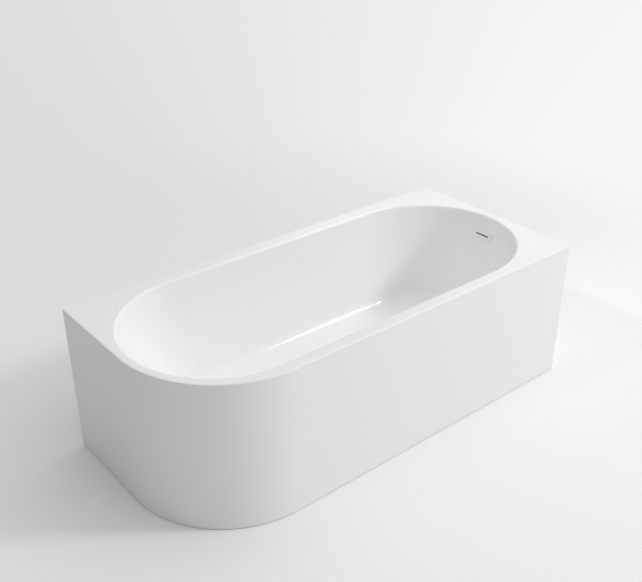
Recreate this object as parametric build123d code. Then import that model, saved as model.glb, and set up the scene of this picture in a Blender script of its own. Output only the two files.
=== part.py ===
from build123d import *
import os

# Back-to-wall bath with one large curved corner. All sizes are millimetres.
# X runs along the bath, the wall is at +Y, Z is up, and the origin is on the floor at the centre.

# Overall form
LENGTH = 1700
WIDTH = 766
HEIGHT = 557
CURVE_RADIUS = 383
CORNER_RADIUS = 4
TOP_EDGE_RADIUS = 4

# Rim between the outer face and the bowl
RIM_LEFT = 32
RIM_RIGHT = 36
RIM_FRONT = 47
RIM_BACK = 53
DECK = 8
LIP_DEPTH = 30
LIP_THICKNESS = 6
BOWL_EDGE_RADIUS = 9

# Bowl: its floor's level, the reach of its two oval ends, the back one's set by the large curve,
# and how far each wall leans in on its way down
FLOOR_LEVEL = 150
BACK_REACH_LESS_THAN_CURVE = 54
FOOT_REACH = 353
SIDE_LEAN = 75
BACKREST_LEAN = 159
FOOT_LEAN = 104
FLOOR_RADIUS = 70
BOWL_WALL = 7

# Outer skirt
SKIRT = 5
SKIRT_FLOOR_GAP = 2
SKIRT_FLANGE = 12
SKIRT_RETURN = 18

# Timber battens bonded inside the skirt's lower edge
BATTEN_THICKNESS = 20
BATTEN_HEIGHT = 50
BATTEN_LIFT = 26

# Board bonded under the bowl's floor
BOARD = 16
BOARD_END_INSET = 62
BOARD_SIDE_INSET = 73
BOARD_END_FLAT = 35
BOARD_HOLE_RADIUS = 48

# Steel frame of square tube
TUBE = 25
TUBE_WALL = 2
TUBE_CORNER = 3
RAIL_SIDE_INSET = 45
RAIL_LEFT_OVERHANG = 64
RAIL_RIGHT_OVERHANG = 19
CROSSBAR_FRONT_GAP = 3
CROSSBAR_REAR_GAP = 30
CROSSBAR_CURVE_GAP = 32
CROSSBAR_END_INSET = 88
TAB_PLACE_SHARES = [-0.33, -0.12, 0.15, 0.33]
END_CAP = 3
END_CAP_PLUG = 12

# Levelling feet
FOOT_FRONT_INSET = 52
FOOT_REAR_INSET = 56
STUD_RADIUS = 6
STUD_CHAMFER = 1
STUD_TOP_SPARE = 8
STUD_COLLAR_ACROSS = 17
STUD_COLLAR = 9
PAD_RADIUS = 27
PAD_HEIGHT = 20
PAD_RIM = 7
PAD_NECK_RADIUS = 13
PAD_SOCKET = 12
NUT_ACROSS = 19
NUT_HEIGHT = 10

# Brackets and fasteners inside
BRACKET_WIDTH = 30
BRACKET_STEEL = 3
BRACKET_LEG = 38
TAB_REACH = 16
SCREW_RADIUS = 2.2
SCREW_LENGTH = 16
SCREW_HEAD_RADIUS = 4.5
SCREW_HEAD = 2.5
BOLT_RADIUS = 4
BOLT_HEAD_ACROSS = 13
BOLT_HEAD = 5.5

# Wall brackets that the rear lip hooks over
WALL_BRACKET_END_INSET = 350
WALL_BRACKET_WIDTH = 80
WALL_BRACKET_DROP = 70
WALL_BRACKET_STEEL = 3
WALL_HOOK_RISE = 16
WALL_HOLE_RADIUS = 3.5
WALL_HOLE_SPACING = 50

# Click waste in the floor
WASTE_FROM_FOOT = 280
WASTE_HOLE_RADIUS = 26
WASTE_DISH_RADIUS = 44
WASTE_DISH = 3
FLANGE_RADIUS = 36
FLANGE = 2.5
THROAT_RADIUS = 20
THROAT_WALL = 2.5
THROAT_LENGTH = 50
THROAT_LEAD = 4
WINDOW_WIDTH = 12
WINDOW_HEIGHT = 15
SPIDER_HEIGHT = 6
SPIDER_BAR = 3.5
CARTRIDGE_RADIUS = 8
CARTRIDGE_LENGTH = 22
CARTRIDGE_FLOOR = 1.5
CARTRIDGE_CHAMFER = 1.5
PLUG_RADIUS = 31
PLUG_EDGE = 3
PLUG_EDGE_ROUND = 1.4
PLUG_DOME = 2
PLUG_SKIRT_RADIUS = 18.5
PLUG_SKIRT = 5
PLUG_SKIRT_WALL = 2
PLUG_SEAL_RADIUS = 1.1
PLUG_STEM_RADIUS = 4
SEAL = 2.5

# Tee under the waste
TEE_FLANGE_RADIUS = 36
TEE_FLANGE = 4
TEE_WALL = 3
TEE_LENGTH = 55
TEE_INLET_DROP = 29
TEE_INLET_REACH = 20
SPIGOT_RADIUS = 9
SPIGOT_WALL = 1.8

# Slot overflow high in the foot end
OVERFLOW_DROP = 76
COVER_LENGTH = 104
COVER_HEIGHT = 33
COVER_CORNER = 9
COVER_PROUD = 3
SLOT_LENGTH = 64
SLOT_HEIGHT = 5.5
CLIP_LEG = 4
CLIP_CORNER = 1
WALL_SLOT_LENGTH = 76
WALL_SLOT_HEIGHT = 16
CHAMBER_MARGIN = 10
CHAMBER_DEPTH = 20
CHAMBER_WALL = 2.5
CHAMBER_SPIGOT = 26

# Pipe from the overflow to the tee
PIPE_WALL = 2.2
PIPE_BEND_RADIUS = 110
PIPE_OVERLAP = 16
CLIP_WIDTH = 8
CLIP_THICKNESS = 1.2
CLIP_EAR = 7

# Low trap
TRAP_NUT_RADIUS = 32
TRAP_NUT_HEIGHT = 18
TRAP_NUT_GRIP = 8
TRAP_NUT_GRIPS = 12
TRAP_GRIP_RADIUS = 2.5
TRAP_NECK_RADIUS = 22
TRAP_COLLAR = 3
TRAP_WALL = 3
TRAP_BODY_LENGTH = 130
TRAP_BODY_WIDTH = 70
TRAP_BODY_HEIGHT = 50
TRAP_FLOOR_GAP = 13
TRAP_EDGE_RADIUS = 8
TRAP_PORT_OFFSET = 30
TRAP_OUTLET_LENGTH = 70
TRAP_SOCKET_RADIUS = 20.15
TRAP_SOCKET_LENGTH = 32
TRAP_CAP_RADIUS = 16
TRAP_CAP_GRIP_RADIUS = 1.25
TRAP_CAP = 5

# Clearances, and how far the cuts run past what they cut
SEAT_GAP = 0.3
RUNNING_GAP = 0.05
OVERRUN = 20
OVERFLOW_CUT = 45

# Levels and centres worked out from the sizes above
bowl_depth = HEIGHT - FLOOR_LEVEL
shell_z = FLOOR_LEVEL - BOWL_WALL
board_z = shell_z - BOARD
rail_z = board_z - TUBE
crossbar_z = rail_z - TUBE
deck_z = HEIGHT - DECK
lip_z = HEIGHT - LIP_DEPTH
left_x, right_x = -LENGTH / 2, LENGTH / 2
front_y, wall_y = -WIDTH / 2, WIDTH / 2
bowl_half = (WIDTH - RIM_FRONT - RIM_BACK) / 2
bowl_y = (RIM_FRONT - RIM_BACK) / 2
bowl_left, bowl_right = left_x + RIM_LEFT, right_x - RIM_RIGHT
back_reach = CURVE_RADIUS - BACK_REACH_LESS_THAN_CURVE
floor_left, floor_right = bowl_left + BACKREST_LEAN, bowl_right - FOOT_LEAN
board_left, board_right = floor_left + BOARD_END_INSET, floor_right - BOARD_END_INSET
board_length = board_right - board_left
board_width = 2 * (bowl_half - SIDE_LEAN - BOARD_SIDE_INSET)
board_x = (board_left + board_right) / 2
batten_face_y = front_y + SKIRT + BATTEN_THICKNESS
crossbar_y0 = batten_face_y + CROSSBAR_FRONT_GAP
crossbar_y1 = wall_y - CROSSBAR_REAR_GAP
crossbar_left = left_x + CURVE_RADIUS + CROSSBAR_CURVE_GAP
crossbar_right = right_x - CROSSBAR_END_INSET
crossbar_middle = (crossbar_left + crossbar_right) / 2
crossbar_x = {"left": crossbar_left, "middle": crossbar_middle, "right": crossbar_right}
rail_left, rail_right = crossbar_left - RAIL_LEFT_OVERHANG, crossbar_right + RAIL_RIGHT_OVERHANG
rail_length = rail_right - rail_left
rail_x = (rail_left + rail_right) / 2
rail_reach = board_width / 2 - RAIL_SIDE_INSET
rail_y = {"front": bowl_y - rail_reach, "rear": bowl_y + rail_reach}
foot_y = {"front": crossbar_y0 + FOOT_FRONT_INSET, "rear": crossbar_y1 - FOOT_REAR_INSET}
waste_x = floor_right - WASTE_FROM_FOOT
flange_z = FLOOR_LEVEL - WASTE_DISH
overflow_z = HEIGHT - OVERFLOW_DROP
overflow_x = bowl_right - FOOT_LEAN * OVERFLOW_DROP / bowl_depth


def block(x0, x1, y0, y1, z0, z1):
    """A box from its lowest corner to its highest."""
    corner = (Align.MIN, Align.MIN, Align.MIN)
    return Pos(x0, y0, z0) * Box(x1 - x0, y1 - y0, z1 - z0, align=corner)


def rod(radius, z0, z1, x=0, y=0):
    """An upright cylinder."""
    foot = (Align.CENTER, Align.CENTER, Align.MIN)
    return Pos(x, y, z0) * Cylinder(radius, z1 - z0, align=foot)


def cone(lower, upper, z0, z1, x=0, y=0):
    """An upright cone cut off at both ends."""
    foot = (Align.CENTER, Align.CENTER, Align.MIN)
    return Pos(x, y, z0) * Cone(lower, upper, z1 - z0, align=foot)


def hexagon(across, z0, z1, x=0, y=0):
    """An upright hexagonal prism, measured across its flats."""
    flat = RegularPolygon(across / 2, 6, major_radius=False)
    return Pos(x, y, z0) * extrude(flat, z1 - z0)


def plan(inset=0, beyond_wall=0):
    """The bath's outline seen from above, drawn in by inset on every side but the wall's."""
    x0, x1, y0, y1 = left_x + inset, right_x - inset, front_y + inset, wall_y + beyond_wall
    centre_x, centre_y = left_x + CURVE_RADIUS, front_y + CURVE_RADIUS
    corner = max(CORNER_RADIUS - inset, 0)
    edges = [
        Line((x0, y1), (x0, centre_y)),
        CenterArc((centre_x, centre_y), CURVE_RADIUS - inset, 180, 90),
        Line((centre_x, y0), (x1 - corner, y0)),
        Line((x1, y0 + corner), (x1, y1)),
        Line((x1, y1), (x0, y1)),
    ]
    if corner:
        edges.insert(3, CenterArc((x1 - corner, y0 + corner), corner, 270, 90))
    return make_face(Wire(edges))


def bowl_section(z, grow):
    """A level slice of the bowl: two straight sides joined by half ovals."""
    lean = (HEIGHT - z) / bowl_depth
    half = bowl_half - SIDE_LEAN * lean + grow
    back, foot = half * back_reach / bowl_half, half * FOOT_REACH / bowl_half
    x0 = bowl_left + BACKREST_LEAN * lean - grow + back
    x1 = bowl_right - FOOT_LEAN * lean + grow - foot
    edges = [
        Line((x0, -half), (x1, -half)),
        EllipticalCenterArc((x1, 0), foot, half, -90, arc_size=180),
        Line((x1, half), (x0, half)),
        EllipticalCenterArc((x0, 0), back, half, 90, arc_size=180),
    ]
    return Pos(0, bowl_y, z) * make_face(Wire(edges))


def bowl_form(top, bottom, grow, radius=0):
    """The bowl's leaning form as a solid, with its floor edge rounded where a radius is given."""
    form = loft([bowl_section(top, grow), bowl_section(bottom, grow)], ruled=True)
    if radius:
        form = fillet(form.edges().group_by(Axis.Z)[0], radius)
    return form


def overflow_prism(length, height, corner):
    """A bar with rounded corners that passes through the foot wall at the overflow."""
    start = Plane(origin=(overflow_x - OVERFLOW_CUT, bowl_y, overflow_z), x_dir=(0, 1, 0), z_dir=(1, 0, 0))
    return extrude(start * RectangleRounded(length, height, corner), 2 * OVERFLOW_CUT)


def wall_layer(inner, outer):
    """A layer that follows the bowl's walls between two distances from their wet face."""
    return bowl_form(HEIGHT, FLOOR_LEVEL, outer) - bowl_form(HEIGHT, FLOOR_LEVEL, inner)


def bowl_edge(edge):
    """True for an edge of the top face that runs round the bowl."""
    box = edge.bounding_box()
    level = box.min.Z > HEIGHT - SEAT_GAP
    inside_x = bowl_left - SEAT_GAP < box.min.X and box.max.X < bowl_right + SEAT_GAP
    return level and inside_x and abs(edge.center().Y - bowl_y) < bowl_half + SEAT_GAP


def tub_shell():
    """Deck, leaning bowl and rear lip, with the holes for the waste and the overflow."""
    deck = Pos(0, 0, deck_z) * extrude(plan(), DECK)
    outside = [e for e in deck.edges().group_by(Axis.Z)[-1] if e.center().Y < wall_y - OVERRUN]
    deck = fillet(outside, TOP_EDGE_RADIUS)
    lip_x = right_x - SKIRT - max(SKIRT_FLANGE, SKIRT_RETURN) - SEAT_GAP
    lip = block(-lip_x, lip_x, wall_y - LIP_THICKNESS, wall_y, lip_z, deck_z)
    outer = bowl_form(deck_z, shell_z, BOWL_WALL, FLOOR_RADIUS + BOWL_WALL)
    shell = deck + lip + outer - bowl_form(HEIGHT, FLOOR_LEVEL, 0, FLOOR_RADIUS)
    shell = fillet([e for e in shell.edges() if bowl_edge(e)], BOWL_EDGE_RADIUS)
    dish_floor_radius = WASTE_DISH_RADIUS - WASTE_DISH
    dish = cone(dish_floor_radius, WASTE_DISH_RADIUS, flange_z, FLOOR_LEVEL, waste_x, bowl_y)
    hole = rod(WASTE_HOLE_RADIUS, shell_z - OVERRUN, FLOOR_LEVEL, waste_x, bowl_y)
    slot = overflow_prism(WALL_SLOT_LENGTH, WALL_SLOT_HEIGHT, WALL_SLOT_HEIGHT / 2 - SEAT_GAP)
    return shell - dish - hole - slot


def outer_skirt():
    """The curved outer wall with a flange under the deck and a return at each wall end."""
    sheet = plan() - plan(SKIRT, OVERRUN)
    wall = Pos(0, 0, SKIRT_FLOOR_GAP) * extrude(sheet, deck_z - SKIRT_FLOOR_GAP)
    flange = extrude(plan(SKIRT) - plan(SKIRT + SKIRT_FLANGE, OVERRUN), SKIRT)
    skirt = wall + Pos(0, 0, deck_z - SKIRT) * flange
    x0, x1 = right_x - SKIRT - SKIRT_RETURN, right_x - SKIRT
    skirt += block(x0, x1, wall_y - SKIRT, wall_y, SKIRT_FLOOR_GAP, deck_z)
    skirt += block(-x1, -x0, wall_y - SKIRT, wall_y, SKIRT_FLOOR_GAP, deck_z)
    return skirt


def batten_front():
    """Straight batten along the front."""
    x0, x1 = left_x + CURVE_RADIUS, right_x - SKIRT - BATTEN_THICKNESS - SEAT_GAP
    return block(x0, x1, front_y + SKIRT, batten_face_y, BATTEN_LIFT, BATTEN_LIFT + BATTEN_HEIGHT)


def batten_curve():
    """Bent ply batten round the large corner."""
    outer, inner = CURVE_RADIUS - SKIRT, CURVE_RADIUS - SKIRT - BATTEN_THICKNESS
    quarter = Rectangle(outer + OVERRUN, outer + OVERRUN, align=(Align.MAX, Align.MAX))
    ring = (Circle(outer) - Circle(inner)) & (Pos(-SEAT_GAP, -SEAT_GAP) * quarter)
    return Pos(left_x + CURVE_RADIUS, front_y + CURVE_RADIUS, BATTEN_LIFT) * extrude(ring, BATTEN_HEIGHT)


def batten_left():
    """Straight batten at the curved end, from the curve to the wall."""
    x0, y0, y1 = left_x + SKIRT, front_y + CURVE_RADIUS, wall_y - SKIRT - SEAT_GAP
    return block(x0, x0 + BATTEN_THICKNESS, y0, y1, BATTEN_LIFT, BATTEN_LIFT + BATTEN_HEIGHT)


def batten_right():
    """Straight batten at the square end."""
    x1, y0, y1 = right_x - SKIRT, front_y + SKIRT, wall_y - SKIRT - SEAT_GAP
    return block(x1 - BATTEN_THICKNESS, x1, y0, y1, BATTEN_LIFT, BATTEN_LIFT + BATTEN_HEIGHT)


def base_board():
    """Board under the bowl's floor, with rounded corners and a hole round the waste."""
    sheet = RectangleRounded(board_length, board_width, board_width / 2 - BOARD_END_FLAT)
    board = Pos(board_x, bowl_y, board_z) * extrude(sheet, BOARD)
    return board - rod(BOARD_HOLE_RADIUS, board_z - OVERRUN, shell_z + OVERRUN, waste_x, bowl_y)


def square_tube(length):
    """A length of square tube along X, centred, lying on Z = 0."""
    bore = TUBE - 2 * TUBE_WALL
    outer = RectangleRounded(TUBE, TUBE, TUBE_CORNER)
    inner = RectangleRounded(bore, bore, TUBE_CORNER - TUBE_WALL)
    return Pos(-length / 2, 0, TUBE / 2) * Rot(0, 90, 0) * extrude(outer - inner, length)


def rail(side):
    """One long rail under the board, drilled from below for the crossbar bolts."""
    bar = Pos(rail_x, rail_y[side], rail_z) * square_tube(rail_length)
    for x in crossbar_x.values():
        bar -= rod(BOLT_RADIUS, rail_z - OVERRUN, rail_z + TUBE / 2, x, rail_y[side])
    return bar


def crossbar(name):
    """One crossbar under the rails, drilled for its two bolts and its two feet."""
    middle = (crossbar_y0 + crossbar_y1) / 2
    bar = Pos(crossbar_x[name], middle, crossbar_z) * Rot(0, 0, 90) * square_tube(crossbar_y1 - crossbar_y0)
    for y in rail_y.values():
        bar -= rod(BOLT_RADIUS, crossbar_z - OVERRUN, rail_z + OVERRUN, crossbar_x[name], y)
    for y in foot_y.values():
        bar -= rod(STUD_RADIUS + SEAT_GAP, crossbar_z - OVERRUN, rail_z + OVERRUN, crossbar_x[name], y)
    return bar


def end_cap():
    """Plastic cap for a square tube: a plug inside and a flat head, pointing along +X."""
    bore = TUBE - 2 * TUBE_WALL
    plug = extrude(RectangleRounded(bore, bore, TUBE_CORNER - TUBE_WALL), END_CAP_PLUG)
    head = Pos(0, 0, END_CAP_PLUG) * extrude(RectangleRounded(TUBE, TUBE, TUBE_CORNER), END_CAP)
    head = fillet(head.edges().group_by(Axis.Z)[-1], END_CAP / 2)
    return Pos(-END_CAP_PLUG, 0, TUBE / 2) * Rot(0, 90, 0) * (plug + head)


def rail_end_caps():
    """Four caps on the ends of the two rails."""
    caps = []
    for y in rail_y.values():
        caps.append(Pos(rail_right, y, rail_z) * end_cap())
        caps.append(Pos(rail_left, y, rail_z) * Rot(0, 0, 180) * end_cap())
    return caps


def crossbar_end_caps():
    """A cap on the wall end of each crossbar."""
    return [Pos(x, crossbar_y1, crossbar_z) * Rot(0, 0, 90) * end_cap() for x in crossbar_x.values()]


def crossbar_bolts():
    """Hexagon bolts up through each crossbar into the rails."""
    bolts = []
    for x in crossbar_x.values():
        for y in rail_y.values():
            head = hexagon(BOLT_HEAD_ACROSS, crossbar_z - BOLT_HEAD, crossbar_z, x, y)
            bolts.append(head + rod(BOLT_RADIUS, crossbar_z, rail_z + TUBE / 2, x, y))
    return bolts


def wood_screw(hold):
    """Pan head screw pointing up, its head below Z = 0 and its shank through hold and beyond."""
    return rod(SCREW_HEAD_RADIUS, -SCREW_HEAD, 0) + rod(SCREW_RADIUS, 0, hold + SCREW_LENGTH)


def tab_places():
    """Centre of each board tab beside its rail, with the side that it points to."""
    sides = ((rail_y["front"], -1), (rail_y["rear"], 1))
    return [(rail_x + share * rail_length, y, out) for y, out in sides for share in TAB_PLACE_SHARES]


def board_tabs():
    """Small steel tabs welded beside the rails, which the board's screws pass through."""
    tabs = []
    for x, y, out in tab_places():
        y0, y1 = sorted((y + out * TUBE / 2, y + out * (TUBE / 2 + TAB_REACH)))
        tab = block(x - BRACKET_WIDTH / 2, x + BRACKET_WIDTH / 2, y0, y1, board_z - BRACKET_STEEL, board_z)
        tabs.append(tab - rod(SCREW_RADIUS, board_z - OVERRUN, board_z, x, (y0 + y1) / 2))
    return tabs


def base_board_screws():
    """The screws through the tabs. The board is drilled by the same solids."""
    seat = board_z - BRACKET_STEEL
    hold = BRACKET_STEEL + BOARD / 2 - SCREW_LENGTH
    return [Pos(x, y + out * (TUBE + TAB_REACH) / 2, seat) * wood_screw(hold) for x, y, out in tab_places()]


def angle_brackets():
    """Steel angles that tie each crossbar to the front batten."""
    brackets = []
    for x in crossbar_x.values():
        x0, x1 = x - BRACKET_WIDTH / 2, x + BRACKET_WIDTH / 2
        y0, z1 = batten_face_y, crossbar_z
        upright = block(x0, x1, y0, y0 + BRACKET_STEEL, z1 - BRACKET_LEG, z1)
        level = block(x0, x1, y0, y0 + BRACKET_LEG, z1 - BRACKET_STEEL, z1)
        hole = rod(SCREW_RADIUS, z1 - OVERRUN, z1, x, y0 + BRACKET_LEG / 2)
        across = Pos(x, y0, z1 - BRACKET_LEG / 2) * Rot(90, 0, 0) * rod(SCREW_RADIUS, -OVERRUN, OVERRUN)
        brackets.append(upright + level - hole - across)
    return brackets


def bracket_screws():
    """Two screws in each angle: one forward into the batten, one up into the crossbar."""
    screws = []
    for x in crossbar_x.values():
        forward = Pos(x, batten_face_y + BRACKET_STEEL, crossbar_z - BRACKET_LEG / 2) * Rot(90, 0, 0)
        upward = Pos(x, batten_face_y + BRACKET_LEG / 2, crossbar_z - BRACKET_STEEL)
        screws.append(forward * wood_screw(0))
        screws.append(upward * wood_screw(0))
    return screws


def foot_pad(x, y):
    """Plastic foot with a socket for the stud."""
    pad = rod(PAD_RADIUS, 0, PAD_RIM, x, y) + cone(PAD_RADIUS, PAD_NECK_RADIUS, PAD_RIM, PAD_HEIGHT, x, y)
    return pad - rod(STUD_RADIUS + RUNNING_GAP, PAD_HEIGHT - PAD_SOCKET, PAD_HEIGHT, x, y)


def foot_stud(x, y):
    """Steel stud with a hexagonal collar for the spanner, turning in the pad's socket."""
    foot_z, collar_z = PAD_HEIGHT - PAD_SOCKET + SEAT_GAP, PAD_HEIGHT + SEAT_GAP
    stud = rod(STUD_RADIUS, foot_z, rail_z + NUT_HEIGHT + STUD_TOP_SPARE, x, y)
    stud = chamfer(stud.edges().group_by(Axis.Z)[-1], STUD_CHAMFER)
    return stud + hexagon(STUD_COLLAR_ACROSS, collar_z, collar_z + STUD_COLLAR, x, y)


def stud_nuts():
    """A nut below and a nut above the crossbar on each stud."""
    nuts = []
    for x in crossbar_x.values():
        for y in foot_y.values():
            for z in (crossbar_z - NUT_HEIGHT, rail_z):
                nut = hexagon(NUT_ACROSS, z, z + NUT_HEIGHT, x, y)
                nuts.append(nut - rod(STUD_RADIUS + RUNNING_GAP, z, z + NUT_HEIGHT, x, y))
    return nuts


def wall_bracket(x):
    """Z-shaped steel hanger: plate on the wall, step under the lip, hook in front of it."""
    steel = WALL_BRACKET_STEEL
    hook_y = wall_y - LIP_THICKNESS - SEAT_GAP
    x0, x1 = x - WALL_BRACKET_WIDTH / 2, x + WALL_BRACKET_WIDTH / 2
    bracket = block(x0, x1, wall_y - steel, wall_y, lip_z - WALL_BRACKET_DROP, lip_z)
    bracket += block(x0, x1, hook_y - steel, wall_y, lip_z - steel, lip_z)
    bracket += block(x0, x1, hook_y - steel, hook_y, lip_z - steel, lip_z + WALL_HOOK_RISE)
    for side in (-1, 1):
        place = Pos(x + side * WALL_HOLE_SPACING / 2, wall_y, lip_z - WALL_BRACKET_DROP / 2)
        bracket -= place * Rot(90, 0, 0) * rod(WALL_HOLE_RADIUS, -OVERRUN, OVERRUN)
    return bracket


# Levels and radii of the waste, from the flange down
throat_z = flange_z - THROAT_LENGTH
tee_top_z = shell_z - SEAL
tee_z = tee_top_z - TEE_LENGTH
inlet_z = tee_top_z - TEE_INLET_DROP
throat_outer = THROAT_RADIUS + THROAT_WALL
tee_outer = throat_outer + TEE_WALL
plug_z = flange_z + FLANGE + SEAT_GAP
cartridge_bore = PLUG_STEM_RADIUS + RUNNING_GAP


def waste_flange():
    """Waste body: flange in the dish, throat with a lead, four windows and a cartridge spider."""
    body = rod(FLANGE_RADIUS, flange_z, flange_z + FLANGE) + rod(throat_outer, throat_z, flange_z)
    body = fillet(body.edges().group_by(Axis.Z)[-1], FLANGE / 2)
    top = flange_z + FLANGE
    body -= rod(THROAT_RADIUS, throat_z, top)
    body -= cone(THROAT_RADIUS, THROAT_RADIUS + THROAT_LEAD, top - THROAT_LEAD, top)
    window = Box(2 * throat_outer + OVERRUN, WINDOW_WIDTH, WINDOW_HEIGHT)
    for turn in (0, 90):
        body -= Rot(0, 0, turn) * Pos(0, 0, inlet_z) * window
    hub = rod(CARTRIDGE_RADIUS + THROAT_WALL, throat_z, throat_z + SPIDER_HEIGHT)
    for turn in (45, 135):
        bar = Box(2 * THROAT_RADIUS + THROAT_WALL, SPIDER_BAR, SPIDER_HEIGHT)
        hub += Rot(0, 0, turn) * Pos(0, 0, throat_z + SPIDER_HEIGHT / 2) * bar
    body += hub
    body -= rod(CARTRIDGE_RADIUS, throat_z, throat_z + SPIDER_HEIGHT)
    return Pos(waste_x, bowl_y, 0) * body


def plug_cartridge():
    """Brass click cartridge screwed into the spider, bored for the plug's stem."""
    body = rod(CARTRIDGE_RADIUS, throat_z, throat_z + CARTRIDGE_LENGTH)
    body = chamfer(body.edges().group_by(Axis.Z)[-1], CARTRIDGE_CHAMFER)
    bore = rod(cartridge_bore, throat_z + CARTRIDGE_FLOOR, throat_z + CARTRIDGE_LENGTH)
    return Pos(waste_x, bowl_y, 0) * (body - bore)


def waste_plug():
    """Domed cap, short skirt and stem of the click plug."""
    edge_z, top_z = plug_z + PLUG_EDGE, plug_z + PLUG_EDGE + PLUG_DOME
    skirt_z, stem_z = plug_z - PLUG_SKIRT, throat_z + CARTRIDGE_FLOOR + SEAT_GAP
    dome_reach = PLUG_RADIUS - PLUG_EDGE_ROUND - SEAT_GAP
    dome_radius = (dome_reach ** 2 + PLUG_DOME ** 2) / (2 * PLUG_DOME)
    cap = rod(PLUG_RADIUS, plug_z, edge_z)
    cap = fillet(cap.edges().filter_by(GeomType.CIRCLE), PLUG_EDGE_ROUND)
    ball = Pos(0, 0, top_z - dome_radius) * Sphere(dome_radius)
    cap += ball & rod(dome_reach, plug_z + PLUG_EDGE_ROUND, top_z)
    skirt = rod(PLUG_SKIRT_RADIUS, skirt_z, plug_z)
    cap += skirt - rod(PLUG_SKIRT_RADIUS - PLUG_SKIRT_WALL, skirt_z, plug_z)
    cap += rod(PLUG_STEM_RADIUS, stem_z, plug_z)
    return Pos(waste_x, bowl_y, 0) * cap


def plug_seal():
    """Rubber ring under the plug's cap, round its skirt."""
    ring = Torus(PLUG_SKIRT_RADIUS + PLUG_SEAL_RADIUS, PLUG_SEAL_RADIUS)
    return Pos(waste_x, bowl_y, plug_z - PLUG_SEAL_RADIUS) * ring


def waste_gasket():
    """Rubber washer between the bowl and the tee."""
    ring = rod(TEE_FLANGE_RADIUS, tee_top_z, shell_z) - rod(WASTE_HOLE_RADIUS, tee_top_z, shell_z)
    return Pos(waste_x, bowl_y, 0) * ring


def waste_tee():
    """Tee body under the bowl, with a flange, a tail for the trap and the overflow's inlet."""
    body = rod(TEE_FLANGE_RADIUS, tee_top_z - TEE_FLANGE, tee_top_z) + rod(tee_outer, tee_z, tee_top_z)
    spigot_end = tee_outer + TEE_INLET_REACH
    sideways = Pos(0, 0, inlet_z) * Rot(0, 90, 0)
    body += sideways * rod(SPIGOT_RADIUS, 0, spigot_end)
    body -= rod(throat_outer, tee_z, tee_top_z)
    body -= sideways * rod(SPIGOT_RADIUS - SPIGOT_WALL, 0, spigot_end)
    return Pos(waste_x, bowl_y, 0) * body


# Overflow chamber round the wall's slot, and the ends of the pipe below it
chamber_length = WALL_SLOT_LENGTH + 2 * CHAMBER_MARGIN
chamber_height = WALL_SLOT_HEIGHT + 2 * CHAMBER_MARGIN
chamber_z = overflow_z - chamber_height / 2
chamber_face = BOWL_WALL + SEAL
spigot_x = bowl_right - FOOT_LEAN * (HEIGHT - chamber_z) / bowl_depth + chamber_face + CHAMBER_DEPTH / 2
pipe_bore = SPIGOT_RADIUS + RUNNING_GAP
pipe_outer = pipe_bore + PIPE_WALL
pipe_top_z = chamber_z - CHAMBER_SPIGOT + PIPE_OVERLAP
pipe_end_x = waste_x + tee_outer + TEE_INLET_REACH - PIPE_OVERLAP


def overflow_cover():
    """Slotted cover that hugs the foot wall, held by two legs through the wall's slot."""
    plate = wall_layer(-COVER_PROUD, 0) & overflow_prism(COVER_LENGTH, COVER_HEIGHT, COVER_CORNER)
    plate -= overflow_prism(SLOT_LENGTH, SLOT_HEIGHT, SLOT_HEIGHT / 2 - SEAT_GAP)
    reach = BOWL_WALL + SEAL + CLIP_LEG
    leg_height = WALL_SLOT_HEIGHT / 2
    legs = wall_layer(-COVER_PROUD, reach)
    legs &= overflow_prism(WALL_SLOT_LENGTH - 2 * CLIP_LEG, leg_height, CLIP_CORNER)
    legs -= overflow_prism(SLOT_LENGTH, WALL_SLOT_HEIGHT, CLIP_CORNER)
    return plate + legs


def overflow_gasket():
    """Rubber frame between the bowl's wall and the chamber."""
    outline = overflow_prism(chamber_length, chamber_height, COVER_CORNER)
    ring = wall_layer(BOWL_WALL, chamber_face) & outline
    return ring - overflow_prism(WALL_SLOT_LENGTH, WALL_SLOT_HEIGHT, WALL_SLOT_HEIGHT / 2 - SEAT_GAP)


def overflow_chamber():
    """Curved box behind the slot with a spigot down to the pipe."""
    bore_length, bore_height = chamber_length - 2 * CHAMBER_WALL, chamber_height - 2 * CHAMBER_WALL
    box = wall_layer(chamber_face, chamber_face + CHAMBER_DEPTH)
    box &= overflow_prism(chamber_length, chamber_height, COVER_CORNER)
    box += rod(SPIGOT_RADIUS, chamber_z - CHAMBER_SPIGOT, chamber_z + CHAMBER_WALL, spigot_x, bowl_y)
    hollow = wall_layer(chamber_face, chamber_face + CHAMBER_DEPTH - CHAMBER_WALL)
    box -= hollow & overflow_prism(bore_length, bore_height, COVER_CORNER - CHAMBER_WALL)
    bore = SPIGOT_RADIUS - SPIGOT_WALL
    return box - rod(bore, chamber_z - CHAMBER_SPIGOT, overflow_z, spigot_x, bowl_y)


def overflow_pipe():
    """Smooth pipe from the chamber's spigot down and along to the tee."""
    route = FilletPolyline((spigot_x, bowl_y, pipe_top_z), (spigot_x, bowl_y, inlet_z),
                           (pipe_end_x, bowl_y, inlet_z), radius=PIPE_BEND_RADIUS)
    start = Plane(origin=(spigot_x, bowl_y, pipe_top_z), z_dir=(0, 0, -1))
    return sweep(start * (Circle(pipe_outer) - Circle(pipe_bore)), path=route)


def pipe_clips():
    """A band with an ear at each end of the pipe."""
    band = rod(pipe_outer + CLIP_THICKNESS, 0, CLIP_WIDTH)
    ear = block(pipe_outer, pipe_outer + CLIP_EAR, -CLIP_EAR / 2, CLIP_EAR / 2, 0, CLIP_WIDTH)
    clip = band + ear - rod(pipe_outer, 0, CLIP_WIDTH)
    upper = Pos(spigot_x, bowl_y, pipe_top_z - (PIPE_OVERLAP + CLIP_WIDTH) / 2) * clip
    lower = Pos(pipe_end_x + (PIPE_OVERLAP - CLIP_WIDTH) / 2, bowl_y, inlet_z) * Rot(0, 90, 0) * clip
    return [upper, lower]


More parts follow.
